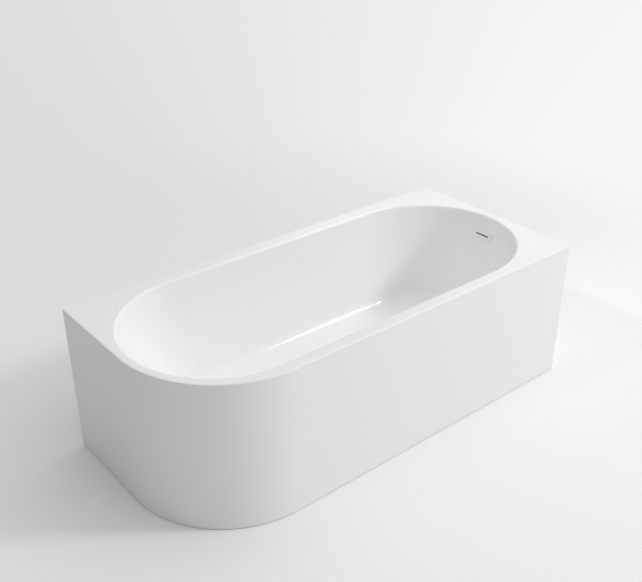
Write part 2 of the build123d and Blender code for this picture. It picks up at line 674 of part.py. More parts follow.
# Trap under the tee's tail, with its outlet towards the wall
neck_top_z = tee_z - SEAL
nut_z = tee_z + TRAP_NUT_GRIP - TRAP_NUT_HEIGHT
trap_top_z = TRAP_FLOOR_GAP + TRAP_BODY_HEIGHT
trap_x = waste_x + TRAP_PORT_OFFSET
outlet_x = trap_x + TRAP_PORT_OFFSET
outlet_z = TRAP_FLOOR_GAP + TRAP_BODY_HEIGHT / 2
outlet_y0 = bowl_y + TRAP_BODY_WIDTH / 2
outlet_y1 = outlet_y0 + TRAP_OUTLET_LENGTH


def trap_nut():
    """Gripped nut that draws the trap's collar up to the tee."""
    nut = rod(TRAP_NUT_RADIUS, nut_z, nut_z + TRAP_NUT_HEIGHT)
    for i in range(TRAP_NUT_GRIPS):
        turn = Rot(0, 0, 360 * (i + 0.5) / TRAP_NUT_GRIPS)
        nut -= turn * rod(TRAP_GRIP_RADIUS, nut_z, nut_z + TRAP_NUT_HEIGHT, TRAP_NUT_RADIUS)
    nut -= rod(tee_outer, neck_top_z - TRAP_COLLAR, nut_z + TRAP_NUT_HEIGHT)
    nut -= rod(TRAP_NECK_RADIUS + SEAT_GAP, nut_z, neck_top_z)
    return Pos(waste_x, bowl_y, 0) * nut


def trap_seal():
    """Rubber washer between the tee's tail and the trap's collar."""
    ring = rod(tee_outer, neck_top_z, tee_z) - rod(throat_outer, neck_top_z, tee_z)
    return Pos(waste_x, bowl_y, 0) * ring


def trap_body():
    """Low trap: rounded body, collared neck at one end and the outlet socket towards the wall."""
    size = (TRAP_BODY_LENGTH, TRAP_BODY_WIDTH, TRAP_BODY_HEIGHT)
    body = Box(*size)
    body = fillet(body.edges(), TRAP_EDGE_RADIUS)
    body = Pos(trap_x, bowl_y, outlet_z) * body
    body += rod(TRAP_NECK_RADIUS, outlet_z, neck_top_z, waste_x, bowl_y)
    body += rod(tee_outer - SEAT_GAP, neck_top_z - TRAP_COLLAR, neck_top_z, waste_x, bowl_y)
    outlet = Pos(outlet_x, bowl_y, outlet_z) * Rot(-90, 0, 0)
    length = outlet_y1 - bowl_y
    body += outlet * rod(TRAP_SOCKET_RADIUS, 0, length)
    body += outlet * rod(TRAP_SOCKET_RADIUS + TRAP_WALL, length - TRAP_SOCKET_LENGTH - TRAP_WALL, length)
    inside = Box(*(side - 2 * TRAP_WALL for side in size))
    inside = fillet(inside.edges(), TRAP_EDGE_RADIUS - TRAP_WALL)
    body -= Pos(trap_x, bowl_y, outlet_z) * inside
    body -= rod(TRAP_NECK_RADIUS - TRAP_WALL, outlet_z, neck_top_z, waste_x, bowl_y)
    body -= outlet * rod(TRAP_SOCKET_RADIUS - TRAP_WALL, 0, length)
    body -= outlet * rod(TRAP_SOCKET_RADIUS, length - TRAP_SOCKET_LENGTH, length)
    return body


def trap_cap():
    """Gripped cap over the trap's cleaning eye."""
    cap = rod(TRAP_CAP_RADIUS, 0, TRAP_CAP)
    for i in range(TRAP_NUT_GRIPS):
        turn = Rot(0, 0, 360 * i / TRAP_NUT_GRIPS)
        cap -= turn * rod(TRAP_CAP_GRIP_RADIUS, 0, TRAP_CAP, TRAP_CAP_RADIUS)
    return Pos(trap_x + TRAP_BODY_LENGTH / 2, bowl_y, outlet_z) * Rot(0, 90, 0) * cap


nodes = {
    "tub_shell": tub_shell(),
    "outer_skirt": outer_skirt(),
    "batten_front": batten_front(),
    "batten_curve": batten_curve(),
    "batten_left": batten_left(),
    "batten_right": batten_right(),
    "base_board": base_board() - base_board_screws(),
    "base_board_screws": base_board_screws(),
    "board_tabs": board_tabs(),
    "rail_end_caps": rail_end_caps(),
    "crossbar_end_caps": crossbar_end_caps(),
    "crossbar_bolts": crossbar_bolts(),
    "angle_brackets": angle_brackets(),
    "bracket_screws": bracket_screws(),
    "stud_nuts": stud_nuts(),
    "wall_bracket_left": wall_bracket(left_x + WALL_BRACKET_END_INSET),
    "wall_bracket_right": wall_bracket(right_x - WALL_BRACKET_END_INSET),
    "waste_flange": waste_flange(),
    "plug_cartridge": plug_cartridge(),
    "waste_plug": waste_plug(),
    "plug_seal": plug_seal(),
    "waste_gasket": waste_gasket(),
    "waste_tee": waste_tee(),
    "overflow_cover": overflow_cover(),
    "overflow_gasket": overflow_gasket(),
    "overflow_chamber": overflow_chamber(),
    "overflow_pipe": overflow_pipe(),
    "pipe_clips": pipe_clips(),
    "trap_nut": trap_nut(),
    "trap_seal": trap_seal(),
    "trap_body": trap_body(),
    "trap_cap": trap_cap(),
}
nodes["batten_front"] -= bracket_screws()
for side in rail_y:
    nodes["rail_" + side] = rail(side)
for name, x in crossbar_x.items():
    nodes["crossbar_" + name] = crossbar(name) - bracket_screws()
    for side, y in foot_y.items():
        nodes["foot_pad_" + name + "_" + side] = foot_pad(x, y)
        nodes["foot_stud_" + name + "_" + side] = foot_stud(x, y)

os.makedirs("parts", exist_ok=True)
for name, shape in nodes.items():
    solids = [s for piece in shape for s in piece.solids()] if isinstance(shape, list) else shape.solids()
    export_step(Compound(children=solids) if len(solids) > 1 else solids[0], "parts/" + name + ".step")
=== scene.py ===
import math

import bmesh
import bpy
import numpy as np
from mathutils import Euler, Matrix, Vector


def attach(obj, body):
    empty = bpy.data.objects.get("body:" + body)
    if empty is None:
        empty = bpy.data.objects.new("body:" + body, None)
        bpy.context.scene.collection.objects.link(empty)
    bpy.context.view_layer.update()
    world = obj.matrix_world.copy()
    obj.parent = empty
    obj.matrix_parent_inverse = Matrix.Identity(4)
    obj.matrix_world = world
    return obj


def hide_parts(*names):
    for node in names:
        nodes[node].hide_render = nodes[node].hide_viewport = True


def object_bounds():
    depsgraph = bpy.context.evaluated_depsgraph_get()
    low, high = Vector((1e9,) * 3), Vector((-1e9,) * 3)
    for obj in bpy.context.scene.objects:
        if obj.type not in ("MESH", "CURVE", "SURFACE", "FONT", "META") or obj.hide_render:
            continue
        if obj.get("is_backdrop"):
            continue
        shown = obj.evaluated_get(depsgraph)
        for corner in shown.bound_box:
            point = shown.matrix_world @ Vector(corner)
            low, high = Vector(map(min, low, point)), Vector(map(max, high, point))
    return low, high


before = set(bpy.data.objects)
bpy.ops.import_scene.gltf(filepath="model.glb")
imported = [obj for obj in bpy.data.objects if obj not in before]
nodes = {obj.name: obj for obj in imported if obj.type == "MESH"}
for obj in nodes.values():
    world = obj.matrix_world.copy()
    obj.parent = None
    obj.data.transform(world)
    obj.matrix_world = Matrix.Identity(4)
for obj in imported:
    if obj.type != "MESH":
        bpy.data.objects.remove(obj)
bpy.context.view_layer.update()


# Floor: a plain pale sheet that the bath stands on, a little duller in the light it throws back than
# it looks. It keeps the bath's shadow near by, and further out it glows with a soft tone for the camera
# and for gloss, with painted shade to the left and painted light to the right. From below it is clear,
# so the frame can be looked at.
FLOOR_HALF = 14.0
FLOOR_CORNERS = ((-1, -1, 0), (1, -1, 0), (1, 1, 0), (-1, 1, 0))
FLOOR_COLOUR = (0.915, 0.915, 0.91, 1.0)
FLOOR_BOUNCE = (0.83, 0.83, 0.825, 1.0)
FLOOR_ROUGHNESS = 0.8
FLOOR_NEAR_REACH = 1.3
FLOOR_FAR_REACH = 3.4
FAR_LEFT_PAINTED_SHADE = (0.715, 0.715, 0.71, 1.0)
FAR_RIGHT_PAINTED_LIGHT = (0.935, 0.935, 0.93, 1.0)
PAINTED_LIGHT_WAY = (0.773, -0.635, 0.0)
PAINTED_LIGHT_SPREAD = 0.65


def new_material(name):
    """A new material, its node tree and its Principled BSDF."""
    material = bpy.data.materials.new(name)
    material.use_nodes = True
    return material, material.node_tree, material.node_tree.nodes["Principled BSDF"]


def add_node(tree, kind, inputs=None, **settings):
    """A shader node with its settings, whose inputs are given values or linked to other outputs."""
    node = tree.nodes.new(kind)
    for key, value in settings.items():
        setattr(node, key, value)
    for key, value in (inputs or {}).items():
        if isinstance(value, bpy.types.NodeSocket):
            tree.links.new(value, node.inputs[key])
        else:
            node.inputs[key].default_value = value
    return node


def number_from(tree, operation, *values):
    """What a Math node makes of its values."""
    return add_node(tree, "ShaderNodeMath", dict(enumerate(values)), operation=operation).outputs[0]


def vector_from(tree, operation, *values, scale=None):
    """What a Vector Math node makes of its values: a number for a length or a dot product."""
    inputs = dict(enumerate(values))
    if scale is not None:
        inputs["Scale"] = scale
    node = add_node(tree, "ShaderNodeVectorMath", inputs, operation=operation)
    return node.outputs["Value" if operation in ("LENGTH", "DOT_PRODUCT") else "Vector"]


def ranged(tree, value, low=0.0, high=1.0, to_low=0.0, to_high=1.0, smooth=False):
    """A value carried from low and high to two others, evenly or by a smooth step."""
    inputs = {"Value": value, "From Min": low, "From Max": high, "To Min": to_low, "To Max": to_high}
    step = "SMOOTHSTEP" if smooth else "LINEAR"
    return add_node(tree, "ShaderNodeMapRange", inputs, interpolation_type=step).outputs["Result"]


def mixed(tree, factor, first, second, kind="RGBA", clamp=True):
    """A colour or a number between two others."""
    inputs = {"Factor": factor, "A": first, "B": second}
    return add_node(tree, "ShaderNodeMix", inputs, data_type=kind, clamp_factor=clamp).outputs["Result"]


def mesh_piece(name, points, faces):
    """An object at the origin with the given points and faces, linked to the scene."""
    mesh = bpy.data.meshes.new(name)
    mesh.from_pydata(np.asarray(points, dtype=float), [], faces)
    mesh.update()
    piece = bpy.data.objects.new(name, mesh)
    bpy.context.collection.objects.link(piece)
    return piece


def painted_far_tone(tree, direction):
    """The far tone in a direction: painted shade to the left, painted light to the right, by a smooth step.
    """
    turned = vector_from(tree, "DOT_PRODUCT", direction, PAINTED_LIGHT_WAY)
    share = ranged(tree, turned, -PAINTED_LIGHT_SPREAD, PAINTED_LIGHT_SPREAD, smooth=True)
    return mixed(tree, share, FAR_LEFT_PAINTED_SHADE, FAR_RIGHT_PAINTED_LIGHT)


floor = mesh_piece("floor", np.array(FLOOR_CORNERS) * FLOOR_HALF, [[0, 1, 2, 3]])
floor_paint, tree, shader = new_material("floor_pale")
shader.inputs["Roughness"].default_value = FLOOR_ROUGHNESS
ray = add_node(tree, "ShaderNodeLightPath").outputs
colour = mixed(tree, ray["Is Camera Ray"], FLOOR_BOUNCE, FLOOR_COLOUR)
tree.links.new(colour, shader.inputs["Base Color"])
place = add_node(tree, "ShaderNodeTexCoord").outputs["Object"]
far = ranged(tree, vector_from(tree, "LENGTH", place), FLOOR_NEAR_REACH, FLOOR_FAR_REACH, smooth=True)
seen = number_from(tree, "MAXIMUM", ray["Is Camera Ray"], ray["Is Glossy Ray"])
seen = number_from(tree, "MAXIMUM", seen, ray["Is Transmission Ray"])
share = number_from(tree, "MULTIPLY", seen, far)
outwards = vector_from(tree, "NORMALIZE", place)
# The far floor glows with this tone: painted shade to the left, painted light to the right.
tone = add_node(tree, "ShaderNodeEmission", {"Color": painted_far_tone(tree, outwards)})
blend = add_node(tree, "ShaderNodeMixShader", {
    0: share, 1: shader.outputs["BSDF"], 2: tone.outputs["Emission"]})
clear = add_node(tree, "ShaderNodeBsdfTransparent").outputs["BSDF"]
below = add_node(tree, "ShaderNodeNewGeometry").outputs["Backfacing"]
one_way = add_node(tree, "ShaderNodeMixShader", {0: below, 1: blend.outputs["Shader"], 2: clear})
tree.links.new(one_way.outputs["Shader"], tree.nodes["Material Output"].inputs["Surface"])
floor.data.materials.append(floor_paint)
floor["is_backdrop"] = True


# Camera: a 50 mm lens at the photograph's place, 39 degrees round to the left of the bath's
# front and 29 degrees above level.
LENS = 50.0
SENSOR_WIDTH = 36.0
CAMERA_PLACE = (-1.8125, -2.1356, 2.0269)
CAMERA_TURNS = (61.309, 0.0, -39.415)

camera_data = bpy.data.cameras.new("camera")
camera_data.lens = LENS
camera_data.sensor_width = SENSOR_WIDTH
camera_data.sensor_fit = "HORIZONTAL"
camera = bpy.data.objects.new("camera", camera_data)
camera.location = CAMERA_PLACE
camera.rotation_euler = Euler([math.radians(angle) for angle in CAMERA_TURNS])
bpy.context.collection.objects.link(camera)
bpy.context.scene.camera = camera


# Studio light: a lamp to the front right, 35 degrees up, whose reflection draws the bright line on
# the bowl's floor, a weak spot on the bowl's foot end, and a pale sky, brightest overhead, with a
# broad glow around the lamp. The camera sees the floor's far tone there, with its painted shade to the
# left and painted light to the right, and gloss sees an even pale tone.
KEY_TURN = 47.0
KEY_RISE = 35.5
KEY_AIM = (0.0, 0.0, 0.25)
KEY_DISTANCE = 6.5
KEY_SIZE = (0.91, 0.91)
KEY_WATTS = 120.0
KEY_COLOUR = (1.0, 1.0, 1.02)
FILL_FROM = (-2.3, 0.55, 3.3)
FILL_AIM = (0.80, 0.02, 0.33)
FILL_CONE = 18.0
FILL_BLEND = 1.0
FILL_SIZE = 0.25
FILL_WATTS = 150.0
SKY_STRENGTH = 1.17
SKY_POWER = 2.0
SKY_TURN = 1.815
SKY_LOW = (0.251, 0.252, 0.247, 1.0)
SKY_HIGH = (0.783, 0.783, 0.775, 1.0)
BROAD_TURN = 48.0
BROAD_RISE = 35.0
BROAD_TONE = (0.28, 0.28, 0.28)
BROAD_POWER = 3.0
GLOSS_TONE = (0.69, 0.69, 0.685, 1.0)


def way_to(turn, rise):
    """The unit way from the bath to a light: turn degrees from the front to the right, rise up."""
    turn, rise = math.radians(turn), math.radians(rise)
    return Vector((math.cos(rise) * math.sin(turn), -math.cos(rise) * math.cos(turn), math.sin(rise)))


def lamp(name, kind, watts, place, way):
    """A lamp at a place that shines against the given way."""
    data = bpy.data.lights.new(name, kind)
    data.energy = watts
    light = bpy.data.objects.new(name, data)
    light.location = place
    light.rotation_euler = way.to_track_quat("Z", "Y").to_euler()
    bpy.context.collection.objects.link(light)
    return light


key_way = way_to(KEY_TURN, KEY_RISE)
key = lamp("key", "AREA", KEY_WATTS, Vector(KEY_AIM) + key_way * KEY_DISTANCE, key_way)
key.data.shape = "RECTANGLE"
key.data.size, key.data.size_y = KEY_SIZE
key.data.color = KEY_COLOUR

fill = lamp("fill", "SPOT", FILL_WATTS, FILL_FROM, Vector(FILL_FROM) - Vector(FILL_AIM))
fill.data.spot_size = math.radians(FILL_CONE)
fill.data.spot_blend = FILL_BLEND
fill.data.shadow_soft_size = FILL_SIZE
fill.visible_glossy = False

world = bpy.data.worlds.new("studio")
world.use_nodes = True
tree = world.node_tree
direction = add_node(tree, "ShaderNodeTexCoord").outputs["Generated"]
split = add_node(tree, "ShaderNodeSeparateXYZ", {"Vector": direction}).outputs
height = number_from(tree, "POWER", number_from(tree, "MAXIMUM", split["Z"], 0.0), SKY_POWER)
side = number_from(tree, "MULTIPLY_ADD", split["X"], SKY_TURN, 1.0)
sky = mixed(tree, number_from(tree, "MULTIPLY", height, side), SKY_LOW, SKY_HIGH, clamp=False)
towards = vector_from(tree, "DOT_PRODUCT", direction, way_to(BROAD_TURN, BROAD_RISE))
towards = number_from(tree, "POWER", number_from(tree, "MAXIMUM", towards, 0.0), BROAD_POWER)
sky = vector_from(tree, "ADD", sky, vector_from(tree, "SCALE", BROAD_TONE, scale=towards))
ray = add_node(tree, "ShaderNodeLightPath").outputs
even = mixed(tree, ray["Is Glossy Ray"], sky, GLOSS_TONE)
# The camera's backdrop is the far tone: painted shade to the left, painted light to the right.
backdrop = vector_from(tree, "SCALE", painted_far_tone(tree, direction), scale=1.0 / SKY_STRENGTH)
shown = mixed(tree, ray["Is Camera Ray"], even, backdrop)
tree.links.new(shown, tree.nodes["Background"].inputs["Color"])
tree.nodes["Background"].inputs["Strength"].default_value = SKY_STRENGTH
bpy.context.scene.world = world
bpy.context.scene.view_settings.view_transform = "Standard"


# Tub shell: vacuum-formed acrylic about 7 mm thick with its glass-fibre backing, in one moulding of
# deck, leaning bowl and floor. It is one closed skin: wet side, deck, underside and the waste hole,
# with a lip at the back that hooks over the wall hangers.
RIM_LEFT = 0.032
RIM_RIGHT = 0.036
RIM_FRONT = 0.047
RIM_BACK = 0.053
BOWL_DEPTH = 0.407
SIDE_LEAN = 0.075
BACKREST_LEAN = 0.159
FOOT_LEAN = 0.104
BACK_REACH = 0.329
FOOT_REACH = 0.353
FLOOR_RADIUS = 0.070
BOWL_WALL = 0.007
DECK = 0.008
TOP_EDGE_RADIUS = 0.004
BOWL_EDGE_RADIUS = 0.009
WASTE_FROM_FOOT = 0.280
WASTE_HOLE_RADIUS = 0.026
DISH_RADIUS = 0.044
DISH_DEPTH = 0.003
LIP_DEPTH = 0.030
LIP_THICKNESS = 0.006
LIP_END_GAP = 0.0233
LIP_BEVEL = 0.001

STEP_ALONG = 0.006
SMALLEST_CORNER = 1e-5
CRISP_DEGREES = 30.0
CORNER_STEPS = 6
TOP_EDGE_RINGS = 6
BOWL_EDGE_RINGS = 10
WET_FILLET_RINGS = 22
UNDER_FILLET_RINGS = 12
UNDER_DECK_RINGS = 3
UNDER_WALL_RINGS = 8
UNDER_FLOOR_RINGS = 6
WET_FLOOR_RINGS = 12
WET_WALL_RINGS = 16
DECK_RINGS = 5
BEVEL_SEGMENTS = 3

(left_x, front_y, _), (right_x, wall_y, top_z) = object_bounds()
curve_radius = (wall_y - front_y) / 2
floor_z = top_z - BOWL_DEPTH
deck_z = top_z - DECK
bowl_half = (wall_y - front_y - RIM_FRONT - RIM_BACK) / 2
bowl_y = (RIM_FRONT - RIM_BACK) / 2
bowl_left, bowl_right = left_x + RIM_LEFT, right_x - RIM_RIGHT
waste_x = bowl_right - FOOT_LEAN - WASTE_FROM_FOOT


def step_count(length):
    """How many points a run of that length has."""
    return max(int(length / STEP_ALONG), 2)


def straight(start, end, length):
    """Points (x, y) from start up to, but not including, end."""
    share = np.linspace(0.0, 1.0, step_count(length), endpoint=False)[:, None]
    return np.array(start) + (np.array(end) - start) * share


def quarter(centre, radius, first, count):
    """Points (x, y) of a quarter circle from the first angle, in degrees, without its last point."""
    turn = np.radians(first + 90.0 * np.linspace(0.0, 1.0, count, endpoint=False))
    return np.stack([centre[0] + radius * np.cos(turn), centre[1] + radius * np.sin(turn)], axis=1)


def plan_outline(inset, with_wall=True):
    """Points round the bath seen from above, drawn in by inset but for the wall's side.

    Straight down the left side, round the large quarter circle, along the front, round a
    4 mm corner, up the right side and, where asked, back along the wall.
    """
    x0, x1, y0 = left_x + inset, right_x - inset, front_y + inset
    corner = max(TOP_EDGE_RADIUS - inset, SMALLEST_CORNER)
    centre_x, centre_y = left_x + curve_radius, front_y + curve_radius
    end_x, start_y = x1 - corner, y0 + corner
    curve_steps = step_count(curve_radius * math.pi / 2)
    runs = [straight((x0, wall_y), (x0, centre_y), curve_radius),
            quarter((centre_x, centre_y), curve_radius - inset, 180.0, curve_steps),
            straight((centre_x, y0), (end_x, y0), right_x - centre_x),
            quarter((end_x, start_y), corner, 270.0, CORNER_STEPS),
            straight((x1, start_y), (x1, wall_y), wall_y - front_y)]
    if with_wall:
        runs.append(straight((x1, wall_y), (x0, wall_y), right_x - left_x))
    else:
        runs.append([(x1, wall_y)])
    return np.concatenate(runs)


class Oval:
    """The bowl's level slices, sampled at the directions of the bath's outline.

    Each slice is two straight sides joined by half ovals. A sample keeps its place on every
    slice: the same share of a straight side, or the same angle of an oval.
    """

    def __init__(self, outline):
        half, x0, x1 = bowl_half, bowl_left + BACK_REACH, bowl_right - FOOT_REACH
        x, y = outline[:, 0], outline[:, 1] - bowl_y
        self.foot, self.back = x > x1, x < x0
        self.end = self.foot | self.back
        self.reach = np.where(self.foot, FOOT_REACH, BACK_REACH)
        centre = np.where(self.foot, x1, x0)
        self.angle = np.arctan2(y / half, (x - centre) / self.reach)
        self.share = np.clip((x - x0) / (x1 - x0), 0.0, 1.0)
        self.side = np.sign(y)

    def slice(self, z, grow):
        """Points (x, y) of the slice at height z, the wet face moved outwards by grow.

        Lean is the share of the depth that z lies below the rim. The half width loses the sides'
        lean times it, and each end comes in by its own lean times it. A point of an end is at
        centre + (reach * cos(angle), half * sin(angle)), and one of a side at its share of it.
        """
        lean = (top_z - z) / BOWL_DEPTH
        half = bowl_half - SIDE_LEAN * lean + grow
        back, foot = half * BACK_REACH / bowl_half, half * FOOT_REACH / bowl_half
        x0 = bowl_left + BACKREST_LEAN * lean - grow + back
        x1 = bowl_right - FOOT_LEAN * lean + grow - foot
        reach = np.where(self.foot, foot, back)
        centre = np.where(self.foot, x1, x0)
        x = np.where(self.end, centre + reach * np.cos(self.angle), x0 + (x1 - x0) * self.share)
        y = np.where(self.end, half * np.sin(self.angle), half * self.side)
        return np.stack([x, y + bowl_y], axis=1)

    def outward(self):
        """Unit normals (x, y) of the slice, pointing away from the bowl's middle.

        On an end they lie along (half * cos(angle), reach * sin(angle)), and on a side straight across.
        """
        x = np.where(self.end, np.cos(self.angle) * bowl_half, 0.0)
        y = np.where(self.end, np.sin(self.angle) * self.reach, self.side)
        length = np.hypot(x, y)
        return np.stack([x / length, y / length], axis=1)


oval = Oval(plan_outline(TOP_EDGE_RADIUS))
normal = oval.outward()
moved = oval.slice(top_z, 0.0) - oval.slice(floor_z, 0.0)
wall_lean = np.arctan2(np.sum(moved * normal, axis=1), BOWL_DEPTH)


def ring(xy, z):
    """Points (x, y) with their height, a number or one number for each."""
    return np.column_stack([xy, np.broadcast_to(z, len(xy))])


def arc_rings(centre, way, level, radius, first, last, count):
    """Rings of an arc in the planes of the outward normals, turned evenly from first to last.

    A point is at centre + way * radius * cos(turn) and at height level + radius * sin(turn).
    """
    rings = []
    for share in np.linspace(0.0, 1.0, count):
        turn = first + share * (last - first)
        rings.append(ring(centre + way * (radius * np.cos(turn))[:, None], level + radius * np.sin(turn)))
    return rings


def floor_fillet(bottom, grow, radius, count):
    """Rings of the arc between the floor and the wall, from the floor up.

    The arc's centre lies radius above the floor and radius * tan((90 - lean) / 2) inside the
    corner, and the arc turns from straight down to square with the wall.
    """
    inside = radius * np.tan((math.pi / 2 - wall_lean) / 2)
    centre = oval.slice(bottom, grow) - normal * inside[:, None]
    return arc_rings(centre, normal, bottom + radius, radius, -math.pi / 2, -wall_lean, count)


def bowl_edge():
    """Rings of the rounded edge between the wall and the deck, from the wall up.

    The arc's centre lies radius below the deck and radius * tan((90 - lean) / 2) outside the
    corner, and the arc turns from square with the wall to straight up.
    """
    radius = BOWL_EDGE_RADIUS
    outside = radius * np.tan((math.pi / 2 - wall_lean) / 2)
    centre = oval.slice(top_z, 0.0) + normal * outside[:, None]
    return arc_rings(centre, -normal, top_z - radius, radius, wall_lean, math.pi / 2, BOWL_EDGE_RINGS)


def between(first, last, count):
    """Rings evenly spaced between two rings, without the two themselves."""
    return [first + (last - first) * share for share in np.linspace(0.0, 1.0, count + 2)[1:-1]]


def waste_ring(radius, z, towards):
    """A circle round the waste, each point in line with the same point of another ring."""
    away = towards[:, :2] - [waste_x, bowl_y]
    away /= np.hypot(away[:, 0], away[:, 1])[:, None]
    return ring([waste_x, bowl_y] + away * radius, z)


def top_edge():
    """Rings of the rounded outer edge of the deck, from the top down.

    The outline is drawn in by radius * (1 - sin(turn)) and lowered by radius * (1 - cos(turn)).
    """
    rings = []
    for turn in np.linspace(0.0, math.pi / 2, TOP_EDGE_RINGS):
        inset = TOP_EDGE_RADIUS * (1.0 - math.sin(turn))
        rings.append(ring(plan_outline(inset), top_z - TOP_EDGE_RADIUS * (1.0 - math.cos(turn))))
    return rings


def tub_rings():
    """Every ring of the shell's closed skin, and the number 1 for each that starts a hidden face.

    The rings run from the deck's edge along the underside to the waste hole, then up the
    wet side and back across the deck.
    """
    under_z = floor_z - BOWL_WALL
    dish_z = floor_z - DISH_DEPTH
    edge = top_edge()
    under_edge = ring(plan_outline(0.0), deck_z)
    outer_top = ring(oval.slice(deck_z, BOWL_WALL), deck_z)
    outer_fillet = floor_fillet(under_z, BOWL_WALL, FLOOR_RADIUS + BOWL_WALL, UNDER_FILLET_RINGS)[::-1]
    inner_fillet = floor_fillet(floor_z, 0.0, FLOOR_RADIUS, WET_FILLET_RINGS)
    rounded = bowl_edge()
    hole_low = waste_ring(WASTE_HOLE_RADIUS, under_z, outer_fillet[-1])
    hole_high = waste_ring(WASTE_HOLE_RADIUS, dish_z, inner_fillet[0])
    dish_low = waste_ring(DISH_RADIUS - DISH_DEPTH, dish_z, inner_fillet[0])
    dish_high = waste_ring(DISH_RADIUS, floor_z, inner_fillet[0])
    under = between(under_edge, outer_top, UNDER_DECK_RINGS) + [outer_top]
    under += between(outer_top, outer_fillet[0], UNDER_WALL_RINGS) + outer_fillet
    under += between(outer_fillet[-1], hole_low, UNDER_FLOOR_RINGS) + [hole_low]
    wet = [hole_high, dish_low, dish_high]
    wet += between(dish_high, inner_fillet[0], WET_FLOOR_RINGS) + inner_fillet
    wet += between(inner_fillet[-1], rounded[0], WET_WALL_RINGS) + rounded
    wet += between(rounded[-1], edge[0], DECK_RINGS)
    rings = edge + [under_edge] + under + wet
    hidden = np.zeros(len(rings), dtype=np.int32)
    hidden[len(edge):len(edge) + len(under) + 1] = 1
    return rings, hidden


def wrapped_quads(rows, columns, closed=True):
    """Quads of a grid of points whose last row meets its first, as its columns do where closed."""
    u, v = np.meshgrid(np.arange(rows), np.arange(columns if closed else columns - 1), indexing="ij")
    u1, v1 = (u + 1) % rows, (v + 1) % columns
    corners = [u * columns + v, u1 * columns + v, u1 * columns + v1, u * columns + v1]
    return np.stack(corners, axis=-1).reshape(-1, 4)


def smooth_but_crisp(mesh):
    """Smooth shading that keeps the edges sharper than 30 degrees crisp."""
    mesh.polygons.foreach_set("use_smooth", np.ones(len(mesh.polygons), dtype=bool))
    mesh.set_sharp_from_angle(angle=math.radians(CRISP_DEGREES))


def closed_grid(name, rings, material_of_ring):
    """A closed skin through rings of equal length, its faces outwards.

    Each ring is joined to the next and the last to the first, and a row of quads takes the
    material number given for it.
    """
    rows, columns = len(rings), len(rings[0])
    points = np.concatenate(rings)
    quads = wrapped_quads(rows, columns)
    a, b, c, d = (points[quads[:, corner]] for corner in range(4))
    volume = np.einsum("ij,ij->", a, np.cross(b, c)) + np.einsum("ij,ij->", a, np.cross(c, d))
    if volume < 0:
        quads = quads[:, ::-1]
    piece = mesh_piece(name, points, quads.tolist())
    piece.data.polygons.foreach_set("material_index", np.repeat(material_of_ring, columns).astype(np.int32))
    smooth_but_crisp(piece.data)
    return piece


def block_piece(name, low, high, bevel=0.0):
    """A box from its lowest corner to its highest, its edges cut back by the bevel where one is given."""
    (x0, y0, z0), (x1, y1, z1) = low, high
    points = [(x, y, z) for z in (z0, z1) for y in (y0, y1) for x in (x0, x1)]
    faces = [(0, 2, 3, 1), (4, 5, 7, 6), (0, 1, 5, 4), (2, 6, 7, 3), (0, 4, 6, 2), (1, 3, 7, 5)]
    piece = mesh_piece(name, points, faces)
    if bevel:
        shape = bmesh.new()
        shape.from_mesh(piece.data)
        bmesh.ops.bevel(shape, geom=shape.edges[:], offset=bevel, segments=BEVEL_SEGMENTS, profile=0.5,
                        affect="EDGES")
        shape.to_mesh(piece.data)
        shape.free()
    return piece


tub = closed_grid("tub_skin", *tub_rings())
lip_x = right_x - LIP_END_GAP
lip_low, lip_high = (-lip_x, wall_y - LIP_THICKNESS, top_z - LIP_DEPTH), (lip_x, wall_y, deck_z)
lip = block_piece("rear_lip", lip_low, lip_high, LIP_BEVEL)
lip.data.polygons.foreach_set("material_index", np.ones(len(lip.data.polygons), dtype=np.int32))


# The two faces of the moulding. Its wet side is white acrylic, glossy in the bowl and satin on the
# deck; its hidden side is sprayed glass fibre and resin.
ACRYLIC = (0.92, 0.92, 0.912)
ACRYLIC_SHADE = 0.985
ACRYLIC_IOR = 1.49
BOWL_ROUGHNESS = 0.11
DECK_ROUGHNESS = 0.36
GLOSS_ENDS_INSIDE = 0.012
SATIN_FROM_OUTSIDE = 0.004
FIBRE_PALE = (0.78, 0.77, 0.70, 1.0)
FIBRE_DULL = (0.64, 0.63, 0.55, 1.0)
FIBRE_LAYERS = ((3.0, 26.0), (7.0, 38.0))
LEVEL_FROM = 0.75
NOISE_MIDDLE = 0.5


def opaque(colour, shade=1.0):
    """A colour made darker by the shade and given full alpha."""
    return (*(value * shade for value in colour), 1.0)


def object_place(tree):
    """The place on the object itself."""
    return add_node(tree, "ShaderNodeTexCoord").outputs["Object"]


def noise(tree, place, scale, detail, distortion=0.0):
    """A soft noise between 0 and 1."""
    inputs = {"Vector": place, "Scale": scale, "Detail": detail, "Distortion": distortion}
    return add_node(tree, "ShaderNodeTexNoise", inputs).outputs["Fac"]


def group_with(name, inputs, outputs):
    """An empty shader node group with named sockets, what it is given and its output node."""
    group = bpy.data.node_groups.new(name, "ShaderNodeTree")
    for label, kind, value in inputs:
        socket = group.interface.new_socket(name=label, in_out="INPUT", socket_type=kind)
        if value is not None:
            socket.default_value = value
    for label, kind in outputs:
        group.interface.new_socket(name=label, in_out="OUTPUT", socket_type=kind)
    return group, group.nodes.new("NodeGroupInput").outputs, group.nodes.new("NodeGroupOutput").inputs


